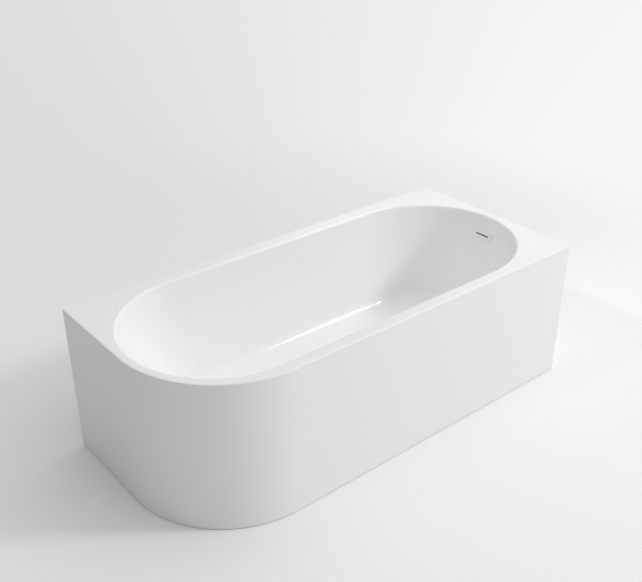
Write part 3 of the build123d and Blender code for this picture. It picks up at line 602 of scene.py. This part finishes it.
def mottle_group():
    """Slow cloudy change of colour and roughness, and a fine ripple for the bump.

    Colour runs between the two given colours with a soft noise of the given scale. Roughness is
    the given one, raised or lowered by up to half the given swing with a second noise. Height is
    a fine noise at the ripple scale.
    """
    group, given, made = group_with(
        "mottle",
        [("Vector", "NodeSocketVector", None), ("Colour A", "NodeSocketColor", (0.8, 0.8, 0.8, 1.0)),
         ("Colour B", "NodeSocketColor", (0.7, 0.7, 0.7, 1.0)), ("Cloud Scale", "NodeSocketFloat", 3.0),
         ("Roughness", "NodeSocketFloat", 0.4), ("Swing", "NodeSocketFloat", 0.05),
         ("Ripple Scale", "NodeSocketFloat", 120.0)],
        [("Colour", "NodeSocketColor"), ("Roughness", "NodeSocketFloat"), ("Height", "NodeSocketFloat")])
    cloud = noise(group, given["Vector"], given["Cloud Scale"], detail=3.0)
    colour = mixed(group, cloud, given["Colour A"], given["Colour B"])
    ripple = noise(group, given["Vector"], given["Ripple Scale"], detail=2.0)
    smear = noise(group, given["Vector"], scale=14.0, detail=4.0, distortion=0.6)
    offset = number_from(group, "ADD", smear, -NOISE_MIDDLE)
    swing = number_from(group, "MULTIPLY_ADD", offset, given["Swing"], given["Roughness"])
    group.links.new(colour, made["Colour"])
    group.links.new(swing, made["Roughness"])
    group.links.new(ripple, made["Height"])
    return group


mottle = mottle_group()


def place_group(tree, group, inputs):
    """One use of a node group in a material, with its own values."""
    return add_node(tree, "ShaderNodeGroup", inputs, node_tree=group)


def add_bump(tree, height, strength, distance):
    """A bump from a height."""
    return add_node(tree, "ShaderNodeBump", {"Strength": strength, "Distance": distance, "Height": height})


def finish_material(tree, shader, surface, strength, distance):
    """Colour, roughness and a bump from a surface group, linked to the shader."""
    tree.links.new(surface.outputs["Colour"], shader.inputs["Base Color"])
    tree.links.new(surface.outputs["Roughness"], shader.inputs["Roughness"])
    bump = add_bump(tree, surface.outputs["Height"], strength, distance)
    tree.links.new(bump.outputs["Normal"], shader.inputs["Normal"])


def acrylic_material():
    """White acrylic: gloss inside the bowl, satin on the deck and skirt.

    Seen from above, the distance from the line between the end ovals' centres tells the bowl
    from the deck.
    """
    material, tree, shader = new_material("white_acrylic")
    place = object_place(tree)
    split = add_node(tree, "ShaderNodeSeparateXYZ", {"Vector": place}).outputs
    surface = place_group(tree, mottle, {
        "Vector": place, "Colour A": opaque(ACRYLIC), "Colour B": opaque(ACRYLIC, ACRYLIC_SHADE),
        "Cloud Scale": 2.2, "Swing": 0.05, "Ripple Scale": 55.0})
    y_off = number_from(tree, "ABSOLUTE", number_from(tree, "ADD", split["Y"], -bowl_y))
    x_low = number_from(tree, "SUBTRACT", bowl_left + BACK_REACH, split["X"])
    x_high = number_from(tree, "SUBTRACT", split["X"], bowl_right - FOOT_REACH)
    x_off = number_from(tree, "MAXIMUM", number_from(tree, "MAXIMUM", x_low, x_high), 0.0)
    pair = add_node(tree, "ShaderNodeCombineXYZ", {"X": x_off, "Y": y_off})
    away = vector_from(tree, "LENGTH", pair.outputs["Vector"])
    satin = ranged(tree, away, low=bowl_half - GLOSS_ENDS_INSIDE, high=bowl_half + SATIN_FROM_OUTSIDE,
                   to_low=BOWL_ROUGHNESS, to_high=DECK_ROUGHNESS, smooth=True)
    tree.links.new(satin, surface.inputs["Roughness"])
    finish_material(tree, shader, surface, strength=0.04, distance=0.002)
    shader.inputs["IOR"].default_value = ACRYLIC_IOR
    return material


def strand_group():
    """Chopped strands seen flat: cells with streaks, each cell's streaks lying its own way.

    The place is turned by 2 pi times the random value of its cell in a Voronoi pattern, then
    scaled by Along and Across, and the height is a noise there. Layer picks other cells.
    """
    group, given, made = group_with(
        "strands",
        [("Vector", "NodeSocketVector", None), ("Cells", "NodeSocketFloat", 24.0),
         ("Along", "NodeSocketFloat", 20.0), ("Across", "NodeSocketFloat", 400.0),
         ("Layer", "NodeSocketFloat", 0.0)],
        [("Height", "NodeSocketFloat")])
    layer = add_node(group, "ShaderNodeCombineXYZ", {"Z": given["Layer"]})
    lifted = vector_from(group, "ADD", given["Vector"], layer.outputs["Vector"])
    cell = add_node(group, "ShaderNodeTexVoronoi", {"Vector": lifted, "Scale": given["Cells"]})
    pick = add_node(group, "ShaderNodeSeparateColor", {"Color": cell.outputs["Color"]})
    angle = number_from(group, "MULTIPLY", pick.outputs["Red"], math.tau)
    turned = add_node(group, "ShaderNodeVectorRotate", {"Vector": lifted, "Angle": angle},
                      rotation_type="Z_AXIS")
    stretch = add_node(group, "ShaderNodeCombineXYZ", {"X": given["Along"], "Y": given["Across"]})
    laid = vector_from(group, "MULTIPLY", turned.outputs["Vector"], stretch.outputs["Vector"])
    group.links.new(noise(group, laid, scale=1.0, detail=2.0), made["Height"])
    return group


strands = strand_group()


def flat_place(tree):
    """The place on the face that the surface lies nearest to: (x, y), (x, z) or (y, z)."""
    place = object_place(tree)
    at = add_node(tree, "ShaderNodeSeparateXYZ", {"Vector": place}).outputs
    surface = add_node(tree, "ShaderNodeNewGeometry")
    facing = vector_from(tree, "ABSOLUTE", surface.outputs["True Normal"])
    way = add_node(tree, "ShaderNodeSeparateXYZ", {"Vector": facing}).outputs
    on_end = number_from(tree, "GREATER_THAN", way["X"], way["Y"])
    on_floor = number_from(tree, "GREATER_THAN", way["Z"], LEVEL_FROM)
    side = mixed(tree, on_end, at["X"], at["Y"], kind="FLOAT")
    across = mixed(tree, on_floor, side, at["X"], kind="FLOAT")
    up = mixed(tree, on_floor, at["Z"], at["Y"], kind="FLOAT")
    flat = add_node(tree, "ShaderNodeCombineXYZ", {"X": across, "Y": up})
    return place, flat.outputs["Vector"]


def fibre_material():
    """Chopped glass in resin: layers of strands over a cloudy cream ground, the top ones paler."""
    material, tree, shader = new_material("glass_fibre")
    place, flat = flat_place(tree)
    surface = place_group(tree, mottle, {
        "Vector": place, "Colour A": FIBRE_PALE, "Colour B": FIBRE_DULL, "Cloud Scale": 6.0,
        "Roughness": 0.42, "Swing": 0.35, "Ripple Scale": 70.0})
    first = place_group(tree, strands, {"Vector": flat, "Cells": 17.0, "Along": 16.0, "Across": 300.0})
    highest = first.outputs["Height"]
    for layer, cells in FIBRE_LAYERS:
        more = place_group(tree, strands, {
            "Vector": flat, "Cells": cells, "Along": 24.0, "Across": 480.0, "Layer": layer})
        highest = number_from(tree, "MAXIMUM", highest, more.outputs["Height"])
    bump = add_bump(tree, highest, strength=0.7, distance=0.0015)
    lift = ranged(tree, highest, low=0.46, high=0.72, to_low=0.74, to_high=1.12)
    colour = vector_from(tree, "SCALE", surface.outputs["Colour"], scale=lift)
    tree.links.new(colour, shader.inputs["Base Color"])
    tree.links.new(surface.outputs["Roughness"], shader.inputs["Roughness"])
    tree.links.new(bump.outputs["Normal"], shader.inputs["Normal"])
    return material


acrylic = acrylic_material()
glass_fibre = fibre_material()
for piece in (tub, lip):
    piece.data.materials.append(acrylic)
    piece.data.materials.append(glass_fibre)


# The overflow's slot, cut through the foot wall of the finished skin. The lip is joined on after
# the cut, and the whole stands in for the shell's solid.
OVERFLOW_DROP = 0.076
SLOT_LENGTH = 0.076
SLOT_HEIGHT = 0.016
SLOT_CUT_REACH = 0.04


def join_pieces(pieces):
    """The pieces made one object, under the first one's name."""
    with bpy.context.temp_override(active_object=pieces[0], selected_editable_objects=pieces):
        bpy.ops.object.join()
    return pieces[0]


overflow_z = top_z - OVERFLOW_DROP
slot_x = bowl_right - FOOT_LEAN * OVERFLOW_DROP / BOWL_DEPTH
slot_reach = np.array([SLOT_CUT_REACH, SLOT_LENGTH / 2, SLOT_HEIGHT / 2])
slot_centre = np.array([slot_x, bowl_y, overflow_z])
cutter = block_piece("slot_cutter", slot_centre - slot_reach, slot_centre + slot_reach)
cut = tub.modifiers.new("slot", "BOOLEAN")
cut.object = cutter
cut.operation = "DIFFERENCE"
cut.solver = "EXACT"
finished = bpy.data.meshes.new_from_object(tub.evaluated_get(bpy.context.evaluated_depsgraph_get()))
tub.modifiers.remove(cut)
tub.data = finished
bpy.data.objects.remove(cutter)
tub = join_pieces([tub, lip])
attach(tub, "root")
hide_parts("tub_shell")


# Outer skirt: one sheet of the same acrylic bent round the big corner, bonded under the deck's
# edge by its top flange, with a return at each wall end. Its lower edge stands 2 mm off the floor.
# The returns stop a tenth of a millimetre short, so that no two faces lie in one plane.
SKIRT = 0.005
SKIRT_FLANGE = 0.012
SKIRT_RETURN = 0.018
SKIRT_LIFT = 0.002
SKIRT_EDGE = 0.001
RETURN_STEP = 0.0001
INNER_FACES = (0, 0, 0, 1, 1, 1, 0)


def skirt_rings():
    """The skirt's section carried round the open outline, as rings from wall end to wall end."""
    flange = SKIRT + SKIRT_FLANGE
    section = [(0.0, deck_z), (0.0, SKIRT_LIFT + SKIRT_EDGE), (SKIRT_EDGE, SKIRT_LIFT),
               (SKIRT, SKIRT_LIFT), (SKIRT, deck_z - SKIRT), (flange, deck_z - SKIRT), (flange, deck_z)]
    return np.stack([ring(plan_outline(inset, with_wall=False), z) for inset, z in section])


section = skirt_rings()
section_points, outline_points = section.shape[:2]
quads = wrapped_quads(section_points, outline_points, closed=False)
first_cap = np.arange(section_points) * outline_points
last_cap = (first_cap + outline_points - 1)[::-1]
faces = quads.tolist() + [first_cap.tolist(), last_cap.tolist()]
skirt = mesh_piece("skirt_skin", section.reshape(-1, 3), faces)
face_materials = np.concatenate([np.repeat(INNER_FACES, outline_points - 1), [0, 0]])
skirt.data.polygons.foreach_set("material_index", face_materials.astype(np.int32))
returns = []
for name, x0, x1 in (("return_left", left_x + SKIRT / 2, left_x + SKIRT + SKIRT_RETURN),
                     ("return_right", right_x - SKIRT - SKIRT_RETURN, right_x - SKIRT / 2)):
    low, high = (x0, wall_y - SKIRT, SKIRT_LIFT + RETURN_STEP), (x1, wall_y - RETURN_STEP, deck_z)
    returns.append(block_piece(name, low, high, SKIRT_EDGE))
skirt = join_pieces([skirt] + returns)
smooth_but_crisp(skirt.data)
skirt.data.materials.append(acrylic)
skirt.data.materials.append(glass_fibre)
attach(skirt, "root")
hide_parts("outer_skirt")


# Overflow cover: a thin glossy moulding that hugs the foot wall, with a slot and softly rounded
# edges, clipped through the wall's slot by two legs. Its solid is kept and given its finish here.
SOFT_EDGE = 0.0012
EDGE_SAMPLES = 4
COVER_WHITE = (0.90, 0.90, 0.893)


def dress(material, *names):
    """Gives CAD nodes a material in place of their plain one."""
    for name in names:
        for place in nodes[name].material_slots:
            place.material = material


def soften(tree, radius):
    """Rounds the look of the edges: the bumps start from normals bent within radius of an edge."""
    edge = add_node(tree, "ShaderNodeBevel", {"Radius": radius}, samples=EDGE_SAMPLES)
    for node in tree.nodes:
        if node.bl_idname == "ShaderNodeBump" and not node.inputs["Normal"].is_linked:
            tree.links.new(edge.outputs["Normal"], node.inputs["Normal"])


def moulded_material(name, colour, shade, roughness, swing, ripple, strength, edge=SOFT_EDGE):
    """A moulded or painted surface: cloudy colour of two tones, uneven gloss and a fine ripple."""
    material, tree, shader = new_material(name)
    surface = place_group(tree, mottle, {
        "Vector": object_place(tree), "Colour A": opaque(colour), "Colour B": opaque(colour, shade),
        "Cloud Scale": 12.0, "Roughness": roughness, "Swing": swing, "Ripple Scale": ripple})
    finish_material(tree, shader, surface, strength, distance=0.0006)
    soften(tree, edge)
    return material, tree, shader


cover_gloss, _, _ = moulded_material("cover_gloss", COVER_WHITE, shade=0.985, roughness=0.12, swing=0.06,
                                     ripple=160.0, strength=0.05)
dress(cover_gloss, "overflow_cover")


# Battens: three sawn softwood lengths and one bent from thin plies, bonded inside the skirt's lower
# edge. The grain runs along each one, and the bent one shows its plies on its upper and lower edges.
GRAIN_LIGHT = (0.62, 0.44, 0.25, 1.0)
GRAIN_DARK = (0.36, 0.21, 0.10, 1.0)
GRAIN_FINE = 170.0
GRAIN_LONG = 5.0
PLY = 0.0025
PLY_SEAM_SHARES = (0.7, 1.3)
PLY_SEAM_TONE = 0.55


def grain_group():
    """Wood seen along its fibres.

    A noise stretched by the given scales makes the growth bands, and a finer one the pores.
    The colour runs from the first to the second by the bands, darkened by the pores, and the
    height is the pores' value.
    """
    group, given, made = group_with(
        "grain",
        [("Vector", "NodeSocketVector", None), ("Stretch", "NodeSocketVector", (1.0, 1.0, 1.0)),
         ("Light", "NodeSocketColor", (0.6, 0.4, 0.2, 1.0)),
         ("Dark", "NodeSocketColor", (0.3, 0.2, 0.1, 1.0))],
        [("Colour", "NodeSocketColor"), ("Roughness", "NodeSocketFloat"), ("Height", "NodeSocketFloat")])
    stretched = vector_from(group, "MULTIPLY", given["Vector"], given["Stretch"])
    band = noise(group, stretched, scale=0.55, detail=4.0, distortion=1.2)
    pore = noise(group, stretched, scale=5.0, detail=3.0)
    colour = mixed(group, ranged(group, band, low=0.38, high=0.66), given["Light"], given["Dark"])
    depth = ranged(group, pore, to_low=0.72, to_high=1.18)
    group.links.new(vector_from(group, "SCALE", colour, scale=depth), made["Colour"])
    group.links.new(ranged(group, pore, to_low=0.5, to_high=0.85), made["Roughness"])
    group.links.new(pore, made["Height"])
    return group


grain = grain_group()


def grain_surface(tree, place, stretch):
    """The wood's grain at a place, stretched least along its length."""
    return place_group(tree, grain, {
        "Vector": place, "Stretch": stretch, "Light": GRAIN_LIGHT, "Dark": GRAIN_DARK})


def timber_material(name, stretch):
    """Sawn softwood."""
    material, tree, shader = new_material(name)
    surface = grain_surface(tree, object_place(tree), stretch)
    finish_material(tree, shader, surface, strength=0.35, distance=0.0008)
    soften(tree, SOFT_EDGE)
    return material


def ply_material():
    """Bent ply: stripes of the plies by distance from the curve's centre, over grain round the curve."""
    material, tree, shader = new_material("batten_ply")
    place = object_place(tree)
    centre = (left_x + curve_radius, front_y + curve_radius, 0.0)
    flat = vector_from(tree, "MULTIPLY", vector_from(tree, "SUBTRACT", place, centre), (1.0, 1.0, 0.0))
    reach = vector_from(tree, "LENGTH", flat)
    parts = add_node(tree, "ShaderNodeSeparateXYZ", {"Vector": flat}).outputs
    height = add_node(tree, "ShaderNodeSeparateXYZ", {"Vector": place}).outputs["Z"]
    turn = number_from(tree, "ARCTAN2", parts["Y"], parts["X"])
    along = number_from(tree, "MULTIPLY", turn, curve_radius)
    unrolled = add_node(tree, "ShaderNodeCombineXYZ", {"X": along, "Y": reach, "Z": height})
    surface = grain_surface(tree, unrolled.outputs["Vector"], (GRAIN_LONG, GRAIN_FINE, GRAIN_FINE))
    layer = number_from(tree, "PINGPONG", reach, 2 * PLY)
    seam_from, seam_to = (share * PLY for share in PLY_SEAM_SHARES)
    stripe = ranged(tree, layer, seam_from, seam_to, to_low=PLY_SEAM_TONE)
    surface_way = add_node(tree, "ShaderNodeNewGeometry").outputs["Normal"]
    facing = add_node(tree, "ShaderNodeSeparateXYZ", {"Vector": surface_way}).outputs
    tone = mixed(tree, number_from(tree, "ABSOLUTE", facing["Z"]), 1.0, stripe, kind="FLOAT")
    finish_material(tree, shader, surface, strength=0.3, distance=0.0006)
    toned = vector_from(tree, "SCALE", surface.outputs["Colour"], scale=tone)
    tree.links.new(toned, shader.inputs["Base Color"])
    soften(tree, SOFT_EDGE)
    return material


dress(timber_material("batten_timber_x", (GRAIN_LONG, GRAIN_FINE, GRAIN_FINE)), "batten_front")
dress(timber_material("batten_timber_y", (GRAIN_FINE, GRAIN_LONG, GRAIN_FINE)),
      "batten_left", "batten_right")
dress(ply_material(), "batten_curve")


# Base board: 16 mm chipboard laid into the wet resin under the bowl's floor and brushed over with
# more, so pressed chips show through an uneven glossy coat.
CHIP_TONES = ((0.0, (0.24, 0.15, 0.08, 1.0)),
              (0.45, (0.42, 0.29, 0.17, 1.0)),
              (1.0, (0.60, 0.46, 0.29, 1.0)))
CHIP_SIZE = 260.0
CHIP_SQUEEZE = (1.0, 1.7, 4.0)

board_coat, tree, shader = new_material("resin_board")
place = object_place(tree)
squeezed = add_node(tree, "ShaderNodeMapping", {"Vector": place, "Scale": CHIP_SQUEEZE})
chips = add_node(tree, "ShaderNodeTexVoronoi", {"Vector": squeezed.outputs["Vector"], "Scale": CHIP_SIZE})
chip_tone = add_node(tree, "ShaderNodeSeparateColor", {"Color": chips.outputs["Color"]})
tones = add_node(tree, "ShaderNodeValToRGB", {"Fac": chip_tone.outputs["Red"]})
tones.color_ramp.elements.new(CHIP_TONES[1][0])
for element, (at, tone) in zip(tones.color_ramp.elements, CHIP_TONES):
    element.position = at
    element.color = tone
coat = noise(tree, place, scale=7.0, detail=5.0, distortion=0.8)
gloss = ranged(tree, coat, low=0.35, high=0.65, to_low=0.22, to_high=0.7)
bump = add_bump(tree, chips.outputs["Distance"], strength=0.3, distance=0.0008)
tree.links.new(tones.outputs["Color"], shader.inputs["Base Color"])
tree.links.new(gloss, shader.inputs["Roughness"])
tree.links.new(bump.outputs["Normal"], shader.inputs["Normal"])
dress(board_coat, "base_board")


# Steel frame: rails, crossbars and the small tabs welded beside them, powder-coated black with the
# coat's fine orange peel and a thin bright wear on its edges.
COAT_BLACK = (0.030, 0.030, 0.032)
WORN_STEEL = (0.30, 0.30, 0.31, 1.0)
FRAME = ("rail_front", "rail_rear", "crossbar_left", "crossbar_middle", "crossbar_right", "board_tabs")


def wear_group():
    """A mask of worn edges: where the rounded normal leaves the true one, broken up by a noise."""
    group, given, made = group_with(
        "edge_wear",
        [("Vector", "NodeSocketVector", None), ("Width", "NodeSocketFloat", 0.001),
         ("Amount", "NodeSocketFloat", 0.5)],
        [("Mask", "NodeSocketFloat")])
    bent = add_node(group, "ShaderNodeBevel", {"Radius": given["Width"]}, samples=EDGE_SAMPLES)
    true = add_node(group, "ShaderNodeNewGeometry")
    match = vector_from(group, "DOT_PRODUCT", bent.outputs["Normal"], true.outputs["Normal"])
    off = ranged(group, match, low=0.995, high=0.9)
    patch = noise(group, given["Vector"], scale=90.0, detail=5.0)
    both = number_from(group, "MULTIPLY", off, ranged(group, patch, low=0.48, high=0.62))
    group.links.new(number_from(group, "MULTIPLY", both, given["Amount"]), made["Mask"])
    return group


wear = wear_group()


def worn(tree, shader, worn_colour, width, amount):
    """Lays a worn colour over the shader's own at its edges."""
    mask = place_group(tree, wear, {"Vector": object_place(tree), "Width": width, "Amount": amount})
    own = shader.inputs["Base Color"].links[0].from_socket
    tree.links.new(mixed(tree, mask.outputs["Mask"], own, worn_colour), shader.inputs["Base Color"])


powder_coat, tree, shader = moulded_material("powder_coat", COAT_BLACK, shade=0.8, roughness=0.42,
                                             swing=0.12, ripple=900.0, strength=0.5)
worn(tree, shader, WORN_STEEL, width=0.0008, amount=0.5)
dress(powder_coat, *FRAME)


# End caps and foot pads: black moulded plastic with a sparked texture. It is scuffed paler at its
# edges, where it is handled and stands on the floor.
PLASTIC_BLACK = (0.022, 0.022, 0.023)
SCUFF = (0.14, 0.14, 0.14, 1.0)
FEET = [place + "_" + side for place in ("left", "middle", "right") for side in ("front", "rear")]

black_plastic, tree, shader = moulded_material("black_plastic", PLASTIC_BLACK, shade=0.7, roughness=0.55,
                                               swing=0.15, ripple=1600.0, strength=0.8)
worn(tree, shader, SCUFF, width=0.001, amount=0.6)
dress(black_plastic, "rail_end_caps", "crossbar_end_caps", *("foot_pad_" + foot for foot in FEET))


# Zinc-plated steel: brackets, nuts, bolts, screws, wall hangers and hose bands, with the plate's
# faint blue and straw bloom and bright worn edges. The studs also show their thread.
ZINC = (0.42, 0.45, 0.49, 1.0)
ZINC_STRAW = (0.57, 0.54, 0.45, 1.0)
ZINC_BRIGHT = (0.78, 0.78, 0.79, 1.0)
ZINC_NODES = ("angle_brackets", "bracket_screws", "base_board_screws", "crossbar_bolts", "stud_nuts",
              "wall_bracket_left", "wall_bracket_right", "pipe_clips")
THREAD_PITCH = 0.00175
COLLAR_LEVEL = 0.0248
COLLAR_HALF = 0.0046


def zinc_material(name, threaded=False):
    """Bright zinc plate. Where threaded, rings run round the shank at the pitch, but not the collar."""
    material, tree, shader = new_material(name)
    shader.inputs["Metallic"].default_value = 1.0
    place = object_place(tree)
    surface = place_group(tree, mottle, {
        "Vector": place, "Colour A": ZINC, "Colour B": ZINC_STRAW, "Cloud Scale": 26.0,
        "Roughness": 0.32, "Swing": 0.22, "Ripple Scale": 420.0})
    finish_material(tree, shader, surface, strength=0.12, distance=0.0003)
    soften(tree, SOFT_EDGE / 2)
    worn(tree, shader, ZINC_BRIGHT, width=0.0006, amount=0.8)
    if threaded:
        level = add_node(tree, "ShaderNodeSeparateXYZ", {"Vector": place}).outputs["Z"]
        tooth = number_from(tree, "PINGPONG", level, THREAD_PITCH / 2)
        collar = number_from(tree, "COMPARE", level, COLLAR_LEVEL, COLLAR_HALF)
        shank = number_from(tree, "SUBTRACT", 1.0, collar)
        thread = add_bump(tree, tooth, strength=shank, distance=1.0)
        rounded = next(node for node in tree.nodes if node.bl_idname == "ShaderNodeBevel")
        tree.links.new(rounded.outputs["Normal"], thread.inputs["Normal"])
        fine = shader.inputs["Normal"].links[0].from_node
        tree.links.new(thread.outputs["Normal"], fine.inputs["Normal"])
    return material


dress(zinc_material("zinc_plate"), *ZINC_NODES)
dress(zinc_material("zinc_thread", threaded=True), *("foot_stud_" + foot for foot in FEET))


# Click waste: the flange and the domed plug are polished brass with chrome plate. The click
# cartridge under the plug is plain brass and shows the lines of its turning.
CHROME = (0.60, 0.61, 0.64)
BRASS = (0.72, 0.52, 0.24)
TURNING = 0.0004

chrome, tree, shader = moulded_material("chrome_plate", CHROME, shade=0.96, roughness=0.07, swing=0.10,
                                        ripple=40.0, strength=0.03, edge=SOFT_EDGE / 2)
shader.inputs["Metallic"].default_value = 1.0
dress(chrome, "waste_flange", "waste_plug")

brass, tree, shader = moulded_material("turned_brass", BRASS, shade=0.85, roughness=0.26, swing=0.12,
                                       ripple=300.0, strength=0.1, edge=SOFT_EDGE / 2)
shader.inputs["Metallic"].default_value = 1.0
level = add_node(tree, "ShaderNodeSeparateXYZ", {"Vector": object_place(tree)}).outputs["Z"]
lines = add_bump(tree, number_from(tree, "PINGPONG", level, TURNING), strength=0.4, distance=0.3)
tree.links.new(shader.inputs["Normal"].links[0].from_socket, lines.inputs["Normal"])
tree.links.new(lines.outputs["Normal"], shader.inputs["Normal"])
dress(brass, "plug_cartridge")


# Seals and washers: black rubber, dull and faintly dusty. They are pressed between the waste, the
# overflow and the trap and the faces that these close on.
RUBBER = (0.020, 0.020, 0.020)

rubber, _, _ = moulded_material("rubber", RUBBER, shade=0.6, roughness=0.8, swing=0.12, ripple=700.0,
                                strength=0.5, edge=SOFT_EDGE / 2)
dress(rubber, "plug_seal", "waste_gasket", "overflow_gasket", "trap_seal")


# Overflow pipe, tee and low trap: white polypropylene mouldings, push-fitted and drawn up by the
# gripped nut, a little translucent and duller than the bath.
PIPE_WHITE = (0.80, 0.80, 0.785)
PIPE_GLOW = 0.25
PIPE_GLOW_DEPTH = 0.0015

pipe_white, tree, shader = moulded_material("pipe_white", PIPE_WHITE, shade=0.94, roughness=0.38,
                                            swing=0.14, ripple=500.0, strength=0.25)
shader.inputs["Subsurface Weight"].default_value = PIPE_GLOW
shader.inputs["Subsurface Scale"].default_value = PIPE_GLOW_DEPTH
dress(pipe_white, "waste_tee", "overflow_chamber", "overflow_pipe", "trap_nut", "trap_body", "trap_cap")
